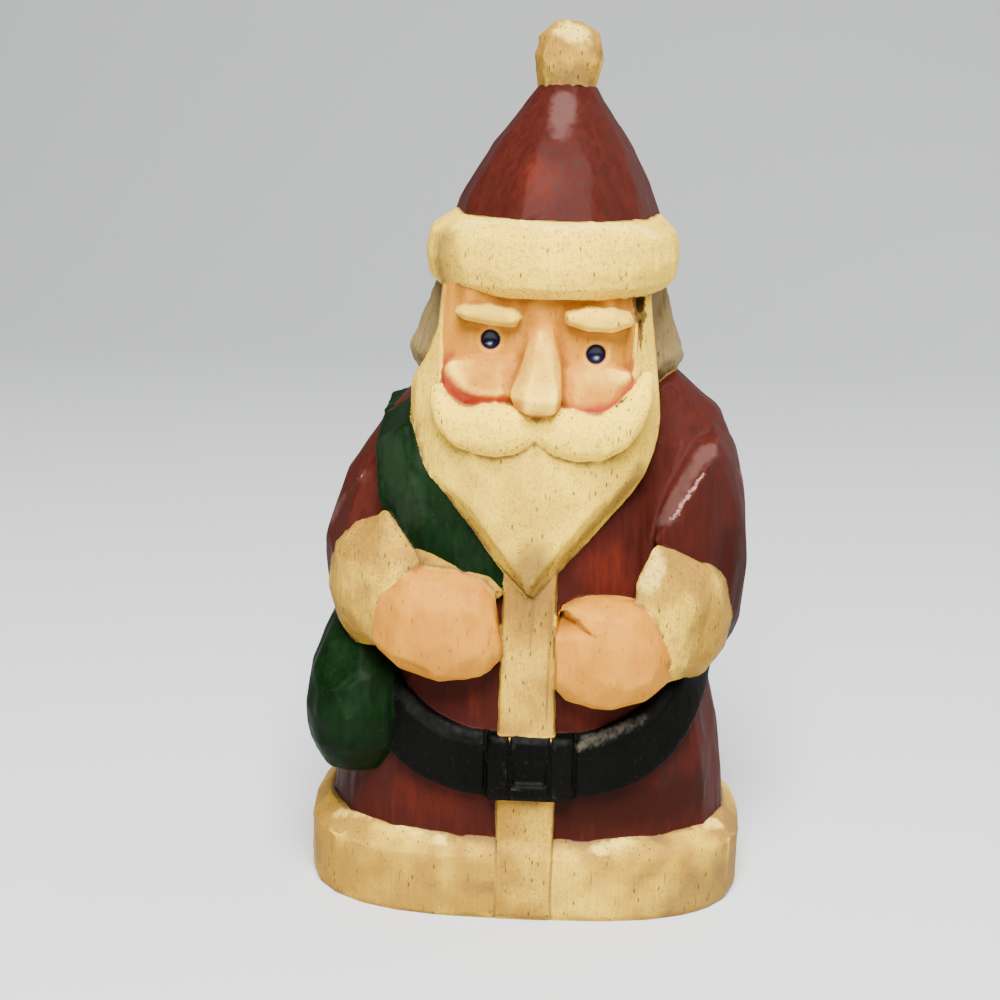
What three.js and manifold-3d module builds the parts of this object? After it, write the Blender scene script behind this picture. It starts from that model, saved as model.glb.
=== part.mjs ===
// A folk-carved santa figure, whittled from one block of wood and painted.
// Millimetres, +Z up. It faces -Y and stands on its flat underside, whose middle is the origin.
import * as THREE from "three";
import { mergeVertices } from "three/addons/utils/BufferGeometryUtils.js";
import Module from "manifold-3d";

const wasm = await Module();
wasm.setup();

// Driving dimensions
const figureHeight = 150; // underside to the top of the bobble
const hemWidth = 77.6; // fur hem, which is also the foot
const hemFront = 27.3; // from the origin to the hem's front face
const hemBack = 22.5; // from the origin to the hem's back face
const hemHeight = 11.4; // upright wall of the hem
const hemBevel = 2.9; // sloping top of the hem, out and up
const footChamfer = 0.8;
const midline = 0.4; // the carved front is this far to +X of the hem's middle
const placketWidth = 9.5; // fur strip down the coat's front
const placketProud = 1.3;
const beltWidth = 11.6;
const beltProud = 1.9;
const beltBevel = 1.6;
const beltRise = 22; // how much higher the belt lies at the hips than in front
const buckleWidth = 15.4;
const buckleProud = 0.8;
const buckleOpening = 6;
const buckleDepth = 1.1;
const eyeDrill = 3.2; // diameter of the drilled eyes
const eyeDepth = 1.6;

// The carving's proportions are written for a figure 150 tall, and follow figureHeight.
const share = figureHeight / 150;

const front = new THREE.Vector3(0, -1, 0);
const up = new THREE.Vector3(0, 0, 1);

// A closed three.js geometry as a solid that can be joined and cut.
function solid(geometry) {
  const bare = geometry.index ? geometry.toNonIndexed() : geometry.clone();
  bare.deleteAttribute("normal");
  bare.deleteAttribute("uv");
  const merged = mergeVertices(bare, 1e-4);
  return new wasm.Manifold(
    new wasm.Mesh({
      numProp: 3,
      vertProperties: merged.attributes.position.array,
      triVerts: new Uint32Array(merged.index.array),
    }),
  );
}

const joined = (...solids) => solids.reduce((all, next) => all.add(next));

// A tube with closed ends, its corners placed by place(turn, row, hub): turn is the angle from the
// front, row counts the stations from the first, and hub is true for the middle of an end.
function tube(sides, rows, phase, place) {
  const geometry = new THREE.CylinderGeometry(1, 1, 1, sides, rows, false, phase);
  const corners = geometry.attributes.position;
  const corner = new THREE.Vector3();
  for (let i = 0; i < corners.count; i++) {
    corner.fromBufferAttribute(corners, i);
    const hub = Math.hypot(corner.x, corner.z) < 0.5;
    const row = Math.round((corner.y + 0.5) * rows);
    const placed = place(Math.atan2(corner.x, corner.z), row, hub);
    corners.setXYZ(i, placed.x, placed.y, placed.z);
  }
  return solid(geometry);
}

// Distance from the middle of a section to its edge at a turn: an oval that squares up with square.
function edge(turn, square, { across, front: ahead, back = ahead }) {
  const x = Math.sign(Math.sin(turn)) * Math.abs(Math.sin(turn)) ** (2 / square);
  const y = Math.sign(Math.cos(turn)) * Math.abs(Math.cos(turn)) ** (2 / square);
  return { x: x * across, y: y * (y > 0 ? ahead : back) };
}

// A whittled form through stations, each with its middle x, y, z, its half width across, and its
// half depths front and back. Few sides leave flat knife facets; wander makes them unequal.
// A level form keeps its sections flat; otherwise they follow the line, and facing says which
// way their front looks.
function carve({ sides, square = 2, phase = 0, wander = 0, level = false, facing = front, stations }) {
  const middles = stations.map(({ x = 0, y = 0, z }) => new THREE.Vector3(x, y, z).multiplyScalar(share));
  const frames = middles.map((middle, i) => {
    const before = middles[Math.max(i - 1, 0)];
    const after = middles[Math.min(i + 1, middles.length - 1)];
    const along = level ? up : after.clone().sub(before).normalize();
    const towards = (stations[i].facing ?? facing).clone();
    towards.addScaledVector(along, -towards.dot(along)).normalize();
    return { middle, towards, aside: along.clone().cross(towards) };
  });
  return tube(sides, stations.length - 1, phase, (turn, row, hub) => {
    const { middle, towards, aside } = frames[row];
    const placed = middle.clone();
    if (hub) return placed;
    const uneven = turn + wander * (Math.sin(2 * turn + sides) + 0.6 * Math.sin(5 * turn));
    const { x, y } = edge(uneven, square, stations[row]);
    return placed.addScaledVector(aside, x * share).addScaledVector(towards, y * share);
  });
}

// A flat form cut to an outline seen from the front, between two depths along y.
function sawn(outline, face, back, bevel) {
  const geometry = new THREE.ExtrudeGeometry(outline, {
    depth: (back - face - 2 * bevel) * share,
    curveSegments: 6,
    bevelThickness: bevel * share,
    bevelSize: bevel * share,
    bevelOffset: -bevel * share,
    bevelSegments: 1,
  });
  geometry.rotateX(Math.PI / 2);
  geometry.translate(0, (back - bevel) * share, 0);
  return solid(geometry);
}

// One straight knife cut: everything beyond the point, on the side that away looks to, is removed.
function pared(form, point, away) {
  const waste = 60 * share;
  const block = new THREE.BoxGeometry(waste, waste, waste);
  const outward = new THREE.Vector3(...away).normalize();
  const middle = new THREE.Vector3(...point).multiplyScalar(share).addScaledVector(outward, waste / 2);
  block.applyQuaternion(new THREE.Quaternion().setFromUnitVectors(up, outward));
  block.translate(middle.x, middle.y, middle.z);
  return form.subtract(solid(block));
}

// The coat: its sections are shared by what is laid on it.
const coatSquare = 2.7;
const coatFoot = { across: hemWidth / 2 - hemBevel, front: hemFront - hemBevel, back: hemBack - hemBevel };
const hemTop = hemHeight + hemBevel;
const coatSections = [
  { z: 0.7 * hemHeight, ...coatFoot },
  { z: hemTop + 6 * share, across: 34.8 * share, front: 25.4 * share, back: 20.3 * share },
  { z: 28 * share, across: 34 * share, front: 26.6 * share, back: 20.5 * share },
  { z: 36 * share, across: 32.2 * share, front: 26.8 * share, back: 20 * share },
  { z: 48 * share, across: 29 * share, front: 26 * share, back: 19 * share },
  { z: 60 * share, across: 27.5 * share, front: 25.2 * share, back: 18.5 * share },
  { z: 72 * share, across: 26 * share, front: 24 * share, back: 18 * share },
  { z: 81 * share, across: 24 * share, front: 21 * share, back: 17 * share },
  { z: 88 * share, across: 19.5 * share, front: 16 * share, back: 14.5 * share },
  { z: 93 * share, across: 13 * share, front: 11 * share, back: 11 * share },
];

// The coat's half sizes at a height.
function coatAt(z) {
  const above = coatSections.findIndex((section, i) => section.z > z || i === coatSections.length - 1);
  const [low, high] = coatSections.slice(Math.max(above - 1, 0)).slice(0, 2);
  const way = THREE.MathUtils.clamp((z - low.z) / (high.z - low.z), 0, 1);
  const between = (side) => THREE.MathUtils.lerp(low[side], high[side], way);
  return { across: between("across"), front: between("front"), back: between("back") };
}

// A point on the coat at a turn and height, or proud of it.
function coatPoint(turn, z, proud = 0) {
  const { across, front: ahead, back } = coatAt(z);
  const { x, y } = edge(turn, coatSquare, { across: across + proud, front: ahead + proud, back: back + proud });
  return new THREE.Vector3(x, -y, z);
}

function makeCoat() {
  const last = coatSections.length - 1;
  return tube(16, last, Math.PI / 16, (turn, row, hub) =>
    hub ? new THREE.Vector3(0, 0, coatSections[row].z) : coatPoint(turn, coatSections[row].z),
  );
}

// The fur hem: an upright wall with a sloping top, which runs in to the coat's foot.
function makeHem() {
  const hemSquare = 3;
  const rings = [
    { z: 0, inset: footChamfer },
    { z: footChamfer, inset: 0 },
    { z: hemHeight, inset: 0 },
    { z: hemTop, inset: hemBevel },
  ];
  return tube(28, rings.length - 1, 0, (turn, row, hub) => {
    const { z, inset } = rings[row];
    if (hub) return new THREE.Vector3(0, 0, z);
    const size = { across: hemWidth / 2 - inset, front: hemFront - inset, back: hemBack - inset };
    const { x, y } = edge(turn, hemSquare, size);
    return new THREE.Vector3(x, -y, z);
  });
}

// The placket: a strip from the hem's foot to under the beard, proud of whatever it lies on.
function makePlacket() {
  const hemProud = 0.25;
  const buried = 6;
  const top = 62 * share;
  const heights = [footChamfer, hemHeight, hemTop, 28 * share, 36 * share, 48 * share, top];
  const corner = Math.PI / 4;
  return tube(4, heights.length - 1, corner, (turn, row, hub) => {
    const z = heights[row];
    const face = z <= hemHeight ? hemFront + hemProud : coatAt(z).front + placketProud;
    if (hub) return new THREE.Vector3(0, buried / 2 - face, z);
    const x = (Math.sign(Math.sin(turn)) * placketWidth) / 2;
    return new THREE.Vector3(x, Math.cos(turn) > 0 ? -face : buried - face, z);
  });
}

// The belt: a band that follows the coat and lies higher at the sides, and its buckle.
const beltFoot = 22.3 * share;

function makeBelt() {
  const rings = [
    { up: 0, proud: -1.5 },
    { up: 0, proud: 0.6 * beltProud },
    { up: 0.5, proud: beltProud },
    { up: beltWidth - beltBevel, proud: beltProud },
    { up: beltWidth, proud: 0.3 * beltProud },
    { up: beltWidth, proud: -1.5 },
  ];
  const sides = 36;
  return tube(sides, rings.length - 1, 0, (turn, row, hub) => {
    const foot = beltFoot + rings[row].up;
    const dip = Math.abs(turn) < Math.PI / 2 ? Math.abs(Math.sin(turn)) ** 2.2 : 0.8 + 0.2 * Math.sin(turn) ** 2;
    return hub ? new THREE.Vector3(0, 0, foot) : coatPoint(turn, foot + beltRise * dip, rings[row].proud);
  });
}

function box(width, depth, height, x, y, z) {
  return new THREE.BoxGeometry(width, depth, height).translate(x, y, z);
}

function makeBuckle() {
  const face = coatAt(beltFoot + beltWidth / 2).front + beltProud + buckleProud;
  const plateDepth = 6;
  const middle = beltFoot + beltWidth / 2;
  const plate = solid(box(buckleWidth, plateDepth, beltWidth, 0, plateDepth / 2 - face, middle));
  const opening = solid(box(buckleOpening, 2 * buckleDepth, buckleOpening, 0.5 * share, -face, middle));
  return { plate, opening };
}

// The sleeves, each from shoulder to elbow. The left one, on the -X side, hangs a little lower.
function makeSleeves() {
  const right = carve({
    sides: 10,
    square: 2.5,
    wander: 0.05,
    stations: [
      { x: 19, y: -3, z: 89, across: 5.5, front: 9, back: 9 },
      { x: 24.6, y: -3.5, z: 82, across: 8, front: 12.5, back: 12 },
      { x: 27.2, y: -4, z: 72, across: 8.8, front: 15.8, back: 14 },
      { x: 28.2, y: -4.5, z: 61, across: 8.8, front: 17, back: 14 },
      { x: 28.2, y: -4, z: 51, across: 8.2, front: 13, back: 13.5 },
      { x: 27.8, y: -3, z: 44.6, across: 6, front: 9, back: 11 },
    ],
  });
  const left = carve({
    sides: 10,
    square: 2.5,
    wander: 0.05,
    stations: [
      { x: -18.4, y: -2, z: 88, across: 4.5, front: 8, back: 9 },
      { x: -21.6, y: -3, z: 81, across: 6.6, front: 11, back: 12 },
      { x: -25, y: -4, z: 71, across: 8.6, front: 15, back: 14 },
      { x: -27.6, y: -4.5, z: 61, across: 9.4, front: 17, back: 14 },
      { x: -27.4, y: -4, z: 53, across: 8.4, front: 13, back: 13.5 },
      { x: -26.6, y: -3, z: 46, across: 6.4, front: 9, back: 11 },
    ],
  });
  return joined(right, left);
}

// The fur cuffs, each a short thick drum from the elbow forwards to the wrist.
function makeCuffs() {
  const right = carve({
    sides: 12,
    square: 2.3,
    wander: 0.04,
    facing: up,
    stations: [
      { x: 27.6, y: -6, z: 51.5, across: 6.4, front: 8.6 },
      { x: 26.4, y: -12, z: 52, across: 8, front: 11 },
      { x: 24.2, y: -18, z: 52.6, across: 8.9, front: 12.8 },
      { x: 21.2, y: -24, z: 52.6, across: 8.4, front: 12.8 },
      { x: 19.2, y: -27.6, z: 52.2, across: 6.6, front: 9.6 },
    ],
  });
  const left = carve({
    sides: 12,
    square: 2.3,
    wander: 0.04,
    facing: up,
    stations: [
      { x: -28.4, y: -6, z: 56, across: 6.4, front: 8.6 },
      { x: -27.4, y: -12, z: 56.6, across: 8, front: 11 },
      { x: -25.4, y: -18, z: 57, across: 9, front: 12.6 },
      { x: -22.6, y: -24, z: 56.8, across: 8.4, front: 12.2 },
      { x: -20.8, y: -27, z: 56.2, across: 6.6, front: 9 },
    ],
  });
  return joined(right, left);
}

// The mittens. The right one has a notch between thumb and fingers.
function makeHands() {
  const right = carve({
    sides: 14,
    square: 2.4,
    wander: 0.04,
    stations: [
      { x: 21.6, y: -24, z: 49.8, across: 7.6, front: 5.5, back: 6 },
      { x: 18, y: -26, z: 49.2, across: 9.2, front: 7, back: 6 },
      { x: 12.5, y: -27, z: 48.8, across: 9.8, front: 7.2, back: 6 },
      { x: 7.2, y: -27, z: 48.8, across: 8.8, front: 6.6, back: 6 },
      { x: 4.6, y: -26.8, z: 48.8, across: 7, front: 5.4, back: 5 },
    ],
  });
  const left = carve({
    sides: 14,
    square: 2.4,
    wander: 0.04,
    stations: [
      { x: -23, y: -24, z: 54, across: 7.4, front: 5.5, back: 6 },
      { x: -19.6, y: -26, z: 53.4, across: 9, front: 7, back: 6 },
      { x: -13.8, y: -27, z: 52.6, across: 9.8, front: 7.3, back: 6 },
      { x: -8.2, y: -27, z: 52.4, across: 8.4, front: 6.8, back: 6 },
      { x: -5.4, y: -26.8, z: 52.8, across: 5.8, front: 5.4, back: 5 },
    ],
  });
  const notch = new THREE.ConeGeometry(2.4 * share, 9 * share, 4);
  notch.rotateZ(-Math.PI / 2);
  notch.translate(7.6 * share, -33 * share, 53.2 * share);
  return joined(right, left).subtract(solid(notch));
}

// The sack: its neck comes over the -X shoulder and down the chest, its bag hangs behind to the hip.
function makeSack() {
  const back = new THREE.Vector3(0, 1, 0);
  const neck = carve({
    sides: 6,
    square: 2,
    stations: [
      { x: -19.4, y: 9.5, z: 77, across: 5.4, front: 3, facing: back },
      { x: -19.2, y: 2.6, z: 84.4, across: 5.8, front: 3.4, facing: up },
      { x: -19.4, y: -8, z: 85.4, across: 6.4, front: 3.6, facing: new THREE.Vector3(-0.3, -0.5, 0.8) },
      { x: -19.8, y: -17, z: 81, across: 6.6, front: 4, facing: new THREE.Vector3(-0.3, -0.9, 0.3) },
      { x: -18.8, y: -21, z: 74.4, across: 7, front: 3.8, facing: new THREE.Vector3(-0.2, -1, 0) },
      { x: -15.6, y: -23, z: 66.8, across: 6.8, front: 3.6 },
      { x: -10.4, y: -24.4, z: 61.4, across: 4.8, front: 3 },
      { x: -4.6, y: -25.2, z: 58.6, across: 2.2, front: 2 },
    ],
  });
  const hip = carve({
    sides: 12,
    square: 3,
    wander: 0.05,
    level: true,
    stations: [
      { x: -30, y: -8, z: 22.6, across: 3.6, front: 10, back: 10 },
      { x: -30, y: -9, z: 24.8, across: 6.6, front: 14, back: 16 },
      { x: -29.6, y: -9.6, z: 29.6, across: 8.9, front: 16.8, back: 20 },
      { x: -29.4, y: -10, z: 36, across: 9.4, front: 17.6, back: 22 },
      { x: -29.4, y: -9.4, z: 42, across: 8.6, front: 16.6, back: 22 },
      { x: -30, y: -7, z: 48, across: 6, front: 12, back: 22 },
      { x: -27, y: 0, z: 54, across: 5, front: 6, back: 16 },
    ],
  });
  const bag = carve({
    sides: 13,
    square: 2.3,
    wander: 0.05,
    level: true,
    stations: [
      { x: -19, y: 8, z: 21.6, across: 14, front: 10, back: 9 },
      { x: -18.4, y: 8, z: 26, across: 18.4, front: 13, back: 14.4 },
      { x: -18, y: 8, z: 37, across: 20, front: 14, back: 17.4 },
      { x: -18, y: 8, z: 50, across: 18, front: 12, back: 16.2 },
      { x: -18.6, y: 8, z: 64, across: 14, front: 8, back: 13.6 },
      { x: -19, y: 7, z: 76, across: 10, front: 5, back: 11 },
      { x: -19, y: 4.6, z: 85.4, across: 6.6, front: 5, back: 7.4 },
    ],
  });
  return joined(neck, hip, bag);
}

// Hair, cut like a bob that flares at its foot.
function makeHair() {
  return carve({
    sides: 14,
    square: 2.4,
    wander: 0.04,
    level: true,
    stations: [
      { x: 0.6, z: 88, across: 18.5, front: 12, back: 16 },
      { x: 0.7, z: 90.6, across: 21.8, front: 13, back: 18 },
      { x: 0.9, z: 94.4, across: 24.2, front: 13, back: 19 },
      { x: 1.1, z: 100, across: 22, front: 13, back: 18 },
      { x: 1.3, z: 106, across: 20.2, front: 13, back: 16.5 },
      { x: 1.3, z: 110, across: 18, front: 12, back: 15 },
    ],
  });
}

// The beard with its side strips: a sawn outline, rounded to the head, pared along its edges and
// opened for the face.
function makeBeard() {
  const shape = new THREE.Shape();
  const outline = [
    ["moveTo", 0.1, 56.8],
    ["lineTo", 15.6, 74.6],
    ["quadraticCurveTo", 20.8, 82, 19.9, 89.5],
    ["lineTo", 17.6, 108],
    ["lineTo", -16.8, 108],
    ["lineTo", -20.6, 91],
    ["quadraticCurveTo", -21.4, 82.6, -14.6, 72],
    ["lineTo", -7.8, 62.4],
  ];
  for (const [draw, ...numbers] of outline) shape[draw](...numbers.map((number) => number * share));
  const roundedHead = carve({
    sides: 18,
    square: 2.6,
    level: true,
    stations: [
      { y: -5, z: 54, across: 23, front: 23.2, back: 8 },
      { y: -5, z: 66, across: 23, front: 24.4, back: 8 },
      { y: -5, z: 80, across: 23, front: 25.2, back: 8 },
      { y: -5, z: 90, across: 22.5, front: 24.4, back: 8 },
      { y: -5, z: 100, across: 21.5, front: 22.6, back: 8 },
      { y: -5, z: 109, across: 21, front: 21.5, back: 8 },
    ],
  });
  const rounded = sawn(shape, -30.6, -12, 0.6).intersect(roundedHead);
  const window = solid(box(30.8 * share, 40 * share, 24 * share, -0.2 * share, -20 * share, 98 * share));
  const leftPared = pared(rounded.subtract(window), [-9, -25, 62.6], [-0.52, -0.72, -0.46]);
  return pared(leftPared, [10, -25, 66.8], [0.56, -0.72, -0.41]);
}

// The face, set back between the side strips: brow bars, wedge nose, and cheeks like flat pads.
const eyes = [
  { x: -7.8, z: 100 },
  { x: 9.1, z: 98.1 },
];

function makeFace() {
  const head = carve({
    sides: 16,
    square: 4,
    level: true,
    stations: [
      { x: -0.2, y: -4, z: 80, across: 18.8, front: 21, back: 10 },
      { x: -0.2, y: -4, z: 92, across: 18.9, front: 22.2, back: 10 },
      { x: 0, y: -4, z: 102, across: 18.5, front: 22, back: 10 },
      { x: 0.2, y: -4, z: 109, across: 17.4, front: 22.6, back: 10 },
    ],
  });
  const nose = carve({
    sides: 6,
    square: 2.6,
    level: true,
    phase: Math.PI / 6,
    stations: [
      { x: 0, y: -25.5, z: 88.6, across: 3, front: 5.6, back: 2 },
      { x: 0, y: -25.5, z: 90, across: 4.4, front: 8.8, back: 2 },
      { x: 0, y: -25.5, z: 93, across: 4.2, front: 8.4, back: 2 },
      { x: 0.4, y: -25.5, z: 98, across: 3, front: 5.4, back: 2 },
      { x: 0.8, y: -25.5, z: 105, across: 1.7, front: 1.7, back: 2 },
    ],
  });
  const brow = (from, to) =>
    carve({
      sides: 6,
      square: 2.2,
      stations: [0, 0.18, 0.75, 1].map((way) => ({
        x: THREE.MathUtils.lerp(from.x, to.x, way),
        y: THREE.MathUtils.lerp(from.y, to.y, way),
        z: THREE.MathUtils.lerp(from.z, to.z, way),
        across: way === 0 || way === 1 ? 0.6 : 1.5,
        front: way === 0 || way === 1 ? 0.8 : 2.2,
      })),
    });
  const brows = [
    brow({ x: -14.8, y: -23.4, z: 103.9 }, { x: -2.8, y: -25.6, z: 103.2 }),
    brow({ x: 4, y: -25.6, z: 103.4 }, { x: 15.2, y: -23.4, z: 103.2 }),
  ];
  const cheek = (x, z, width) =>
    carve({
      sides: 12,
      square: 2.6,
      level: true,
      stations: [
        { x, y: -22, z: z - 5.4, across: 0.6 * width, front: 3.6 },
        { x, y: -22, z: z - 3, across: 0.94 * width, front: 4.9 },
        { x, y: -22, z, across: width, front: 5.3 },
        { x, y: -22, z: z + 3.6, across: 0.97 * width, front: 4.8 },
        { x, y: -22, z: z + 4.6, across: 0.95 * width, front: 4.2 },
      ],
    });
  const face = joined(head, nose, ...brows, cheek(-9.9, 93.2, 6.6), cheek(9.9, 92.2, 6.4));
  return eyes.reduce((carved, eye) => {
    const drill = new THREE.SphereGeometry(eyeDrill / 2, 12, 8);
    const faceDepth = 25.8 * share;
    drill.scale(1, (2 * eyeDepth) / eyeDrill, 1);
    drill.translate(eye.x * share, -faceDepth, eye.z * share);
    return carved.subtract(solid(drill));
  }, face);
}

// The moustache: two lobes from under the nose, out and up round the cheeks.
function makeMoustache() {
  const left = carve({
    sides: 8,
    square: 2.2,
    phase: Math.PI / 8,
    stations: [
      { x: 2.4, y: -29.2, z: 86.6, across: 1.2, front: 1.4 },
      { x: 0, y: -29.6, z: 86.4, across: 3, front: 2.6 },
      { x: -4.2, y: -29.8, z: 85.6, across: 4.3, front: 3.3 },
      { x: -8.8, y: -29.2, z: 85.3, across: 4.1, front: 3.3 },
      { x: -12.8, y: -27.8, z: 87.2, across: 3.2, front: 3 },
      { x: -15.2, y: -26, z: 90, across: 1.9, front: 2.4 },
      { x: -16, y: -25, z: 93, across: 0.8, front: 1.4 },
    ],
  });
  const right = carve({
    sides: 8,
    square: 2.2,
    phase: Math.PI / 8,
    stations: [
      { x: -2.2, y: -29.2, z: 86.6, across: 1.2, front: 1.4 },
      { x: 0.2, y: -29.6, z: 86.4, across: 3, front: 2.6 },
      { x: 4.4, y: -29.8, z: 85.6, across: 4.3, front: 3.3 },
      { x: 9.2, y: -29.2, z: 85.2, across: 4, front: 3.3 },
      { x: 13.8, y: -27.6, z: 86.8, across: 3.3, front: 3 },
      { x: 16.6, y: -25.8, z: 90, across: 2.1, front: 2.4 },
      { x: 17.6, y: -24.8, z: 93.6, across: 0.8, front: 1.4 },
    ],
  });
  return joined(left, right);
}

// The hat: a rolled fur brim, a faceted cone that leans a little to +X, and a whittled bobble.
function makeHat() {
  const brim = carve({
    sides: 20,
    square: 2.3,
    wander: 0.02,
    level: true,
    stations: [
      { x: 1.8, y: -6, z: 107, across: 18.2, front: 21.4, back: 20 },
      { x: 1.8, y: -6, z: 108.4, across: 20.2, front: 23.8, back: 22 },
      { x: 1.8, y: -6, z: 111.4, across: 21, front: 24.6, back: 23 },
      { x: 1.8, y: -6, z: 115.4, across: 20, front: 23.6, back: 22 },
      { x: 1.9, y: -6, z: 117.8, across: 18.6, front: 22, back: 20.6 },
      { x: 1.9, y: -6, z: 118.8, across: 16.6, front: 19.8, back: 18.6 },
    ],
  });
  const cone = carve({
    sides: 9,
    square: 2,
    wander: 0.05,
    level: true,
    stations: [
      { x: 2.1, y: -6, z: 115, across: 18.4, front: 21.4, back: 20 },
      { x: 2.3, y: -6, z: 121.8, across: 15.8, front: 18.4, back: 17 },
      { x: 2.7, y: -6, z: 126.3, across: 13.6, front: 15.8, back: 14.6 },
      { x: 2.9, y: -5.6, z: 131, across: 10.9, front: 12.6, back: 11.8 },
      { x: 3, y: -5, z: 135.2, across: 8, front: 9, back: 8.6 },
      { x: 3.1, y: -4.4, z: 139.6, across: 4.8, front: 5, back: 5 },
    ],
  });
  const bobble = carve({
    sides: 8,
    square: 2,
    wander: 0.06,
    level: true,
    stations: [
      { x: 3.1, y: -4.4, z: 138.2, across: 4.6, front: 4.8 },
      { x: 3.1, y: -4.4, z: 141.2, across: 5.5, front: 5.6 },
      { x: 3.2, y: -4.4, z: 144, across: 6, front: 6 },
      { x: 3.2, y: -4.4, z: 147.8, across: 5, front: 5 },
      { x: 3, y: -4.4, z: 150, across: 2.4, front: 2.6 },
    ],
  });
  return joined(brim, cone, bobble);
}

// A gap the knife left open between the right temple and the hair.
const temple = solid(box(1.6 * share, 16 * share, 9 * share, 16.2 * share, -22 * share, 103.6 * share));

const { plate, opening } = makeBuckle();
const body = joined(
  makeCoat(),
  makePlacket(),
  makeBelt(),
  plate,
  makeSleeves(),
  makeSack(),
  makeCuffs(),
  makeHands(),
  joined(makeHair(), makeFace(), makeBeard()).subtract(temple),
  makeMoustache(),
  makeHat(),
);
const carved = body.subtract(opening).translate(midline, 0, 0).add(makeHem());

// The carved solid as a three.js geometry.
function geometryOf(form) {
  const { vertProperties, triVerts } = form.getMesh();
  const geometry = new THREE.BufferGeometry();
  geometry.setAttribute("position", new THREE.BufferAttribute(vertProperties, 3));
  geometry.setIndex(new THREE.BufferAttribute(triVerts, 1));
  geometry.computeVertexNormals();
  return geometry;
}

const paintedWood = new THREE.MeshStandardMaterial({ color: 0x7a2a22, roughness: 0.5, metalness: 0 });
const figure = new THREE.Mesh(geometryOf(carved), paintedWood);
figure.name = "carved_figure";

const santa = new THREE.Group();
santa.add(figure);

export default santa;
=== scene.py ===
import math

import bmesh
import bpy
import numpy as np
from mathutils import Matrix, Vector, noise
from mathutils.bvhtree import BVHTree
from mathutils.geometry import interpolate_bezier
from mathutils.kdtree import KDTree


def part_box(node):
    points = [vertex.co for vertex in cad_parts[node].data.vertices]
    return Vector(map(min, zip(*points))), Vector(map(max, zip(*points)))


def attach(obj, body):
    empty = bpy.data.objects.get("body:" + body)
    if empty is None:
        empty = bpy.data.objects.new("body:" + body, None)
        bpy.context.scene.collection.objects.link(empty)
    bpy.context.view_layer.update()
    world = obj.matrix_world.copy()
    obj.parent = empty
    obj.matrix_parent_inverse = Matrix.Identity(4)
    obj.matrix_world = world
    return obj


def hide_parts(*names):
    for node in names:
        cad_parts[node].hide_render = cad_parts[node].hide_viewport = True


# A folk-carved santa figure, whittled from one block of wood and painted.
# Its forms are drawn in millimetres for a figure 150 tall and scaled to the frame at the end.
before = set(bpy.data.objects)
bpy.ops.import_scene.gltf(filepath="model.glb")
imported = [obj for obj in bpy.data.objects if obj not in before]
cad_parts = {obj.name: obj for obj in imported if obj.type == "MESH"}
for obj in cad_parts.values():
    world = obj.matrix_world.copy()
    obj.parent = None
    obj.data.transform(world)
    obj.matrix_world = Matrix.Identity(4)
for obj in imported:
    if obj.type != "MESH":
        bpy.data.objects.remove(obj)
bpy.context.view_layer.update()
nodeName = "carved_figure"
lowCorner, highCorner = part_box(nodeName)
drawnHeight = 150
mm = (highCorner.z - lowCorner.z) / drawnHeight  # metres in one drawn millimetre
front = Vector((0, -1, 0))
up = Vector((0, 0, 1))
print("Frame loaded, figure", round(highCorner.z - lowCorner.z, 4), "m tall")

work = {
    "midline": 0.4,  # the carving sits this far to +X of the hem's middle
    "formVoxel": 0.36,  # first remesh, of each carved lump
    "bodyVoxel": 0.3,  # second remesh, of the whole figure
    "triangles": 192000,  # left by the thinning, before the foot is sawn off
    "facing": -0.1,  # a surface faces the front when its normal's y is below this
}


# Small tools
def placed(name, data):
    thing = bpy.data.objects.new(name, data)
    bpy.context.scene.collection.objects.link(thing)
    return thing


def toObject(bm, name):
    mesh = bpy.data.meshes.new(name)
    bm.to_mesh(mesh)
    bm.free()
    return placed(name, mesh)


def applyModifiers(thing):
    graph = bpy.context.evaluated_depsgraph_get()
    mesh = bpy.data.meshes.new_from_object(thing.evaluated_get(graph))
    thing.modifiers.clear()
    old = thing.data
    thing.data = mesh
    bpy.data.meshes.remove(old)
    return thing


def discard(thing):
    mesh = thing.data
    bpy.data.objects.remove(thing)
    bpy.data.meshes.remove(mesh)


def joined(things, name):
    bm = bmesh.new()
    for thing in things:
        bm.from_mesh(thing.data)
    return toObject(bm, name)


def voxelled(thing, size, soften=0):
    remesh = thing.modifiers.new("Remesh", "REMESH")
    remesh.mode = "VOXEL"
    remesh.voxel_size = size
    if soften:
        smooth = thing.modifiers.new("Smooth", "SMOOTH")
        smooth.factor = 0.5
        smooth.iterations = soften
    return applyModifiers(thing)


def lerp(a, b, way):
    return a + (b - a) * way


def only(kind, parts):
    return [part for part in parts if isinstance(part, kind)]


def newMaterial(name):
    material = bpy.data.materials.new(name)
    material.use_nodes = True
    return material, material.node_tree.nodes["Principled BSDF"]


# Whittled forms: a ring of corners is extruded through stations and its corners placed
def ringPoint(turn, square, across, ahead, back):
    x = math.copysign(abs(math.sin(turn)) ** (2 / square), math.sin(turn)) * across
    y = math.copysign(abs(math.cos(turn)) ** (2 / square), math.cos(turn))
    return x, y * (ahead if y > 0 else back)


def tube(sides, rows, phase, place):
    bm = bmesh.new()
    bmesh.ops.create_circle(bm, cap_ends=True, segments=sides, radius=1)
    bm.faces.ensure_lookup_table()
    cap = bm.faces[0]
    for row in range(rows):
        if row:
            grown = bmesh.ops.extrude_face_region(bm, geom=[cap])["geom"]
            if row > 1:
                bmesh.ops.delete(bm, geom=[cap], context="FACES_ONLY")
            cap = only(bmesh.types.BMFace, grown)[0]
        for i, corner in enumerate(cap.verts):
            corner.co = place(phase + 2 * math.pi * i / sides, row)
    bmesh.ops.recalc_face_normals(bm, faces=bm.faces)
    return bm


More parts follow.
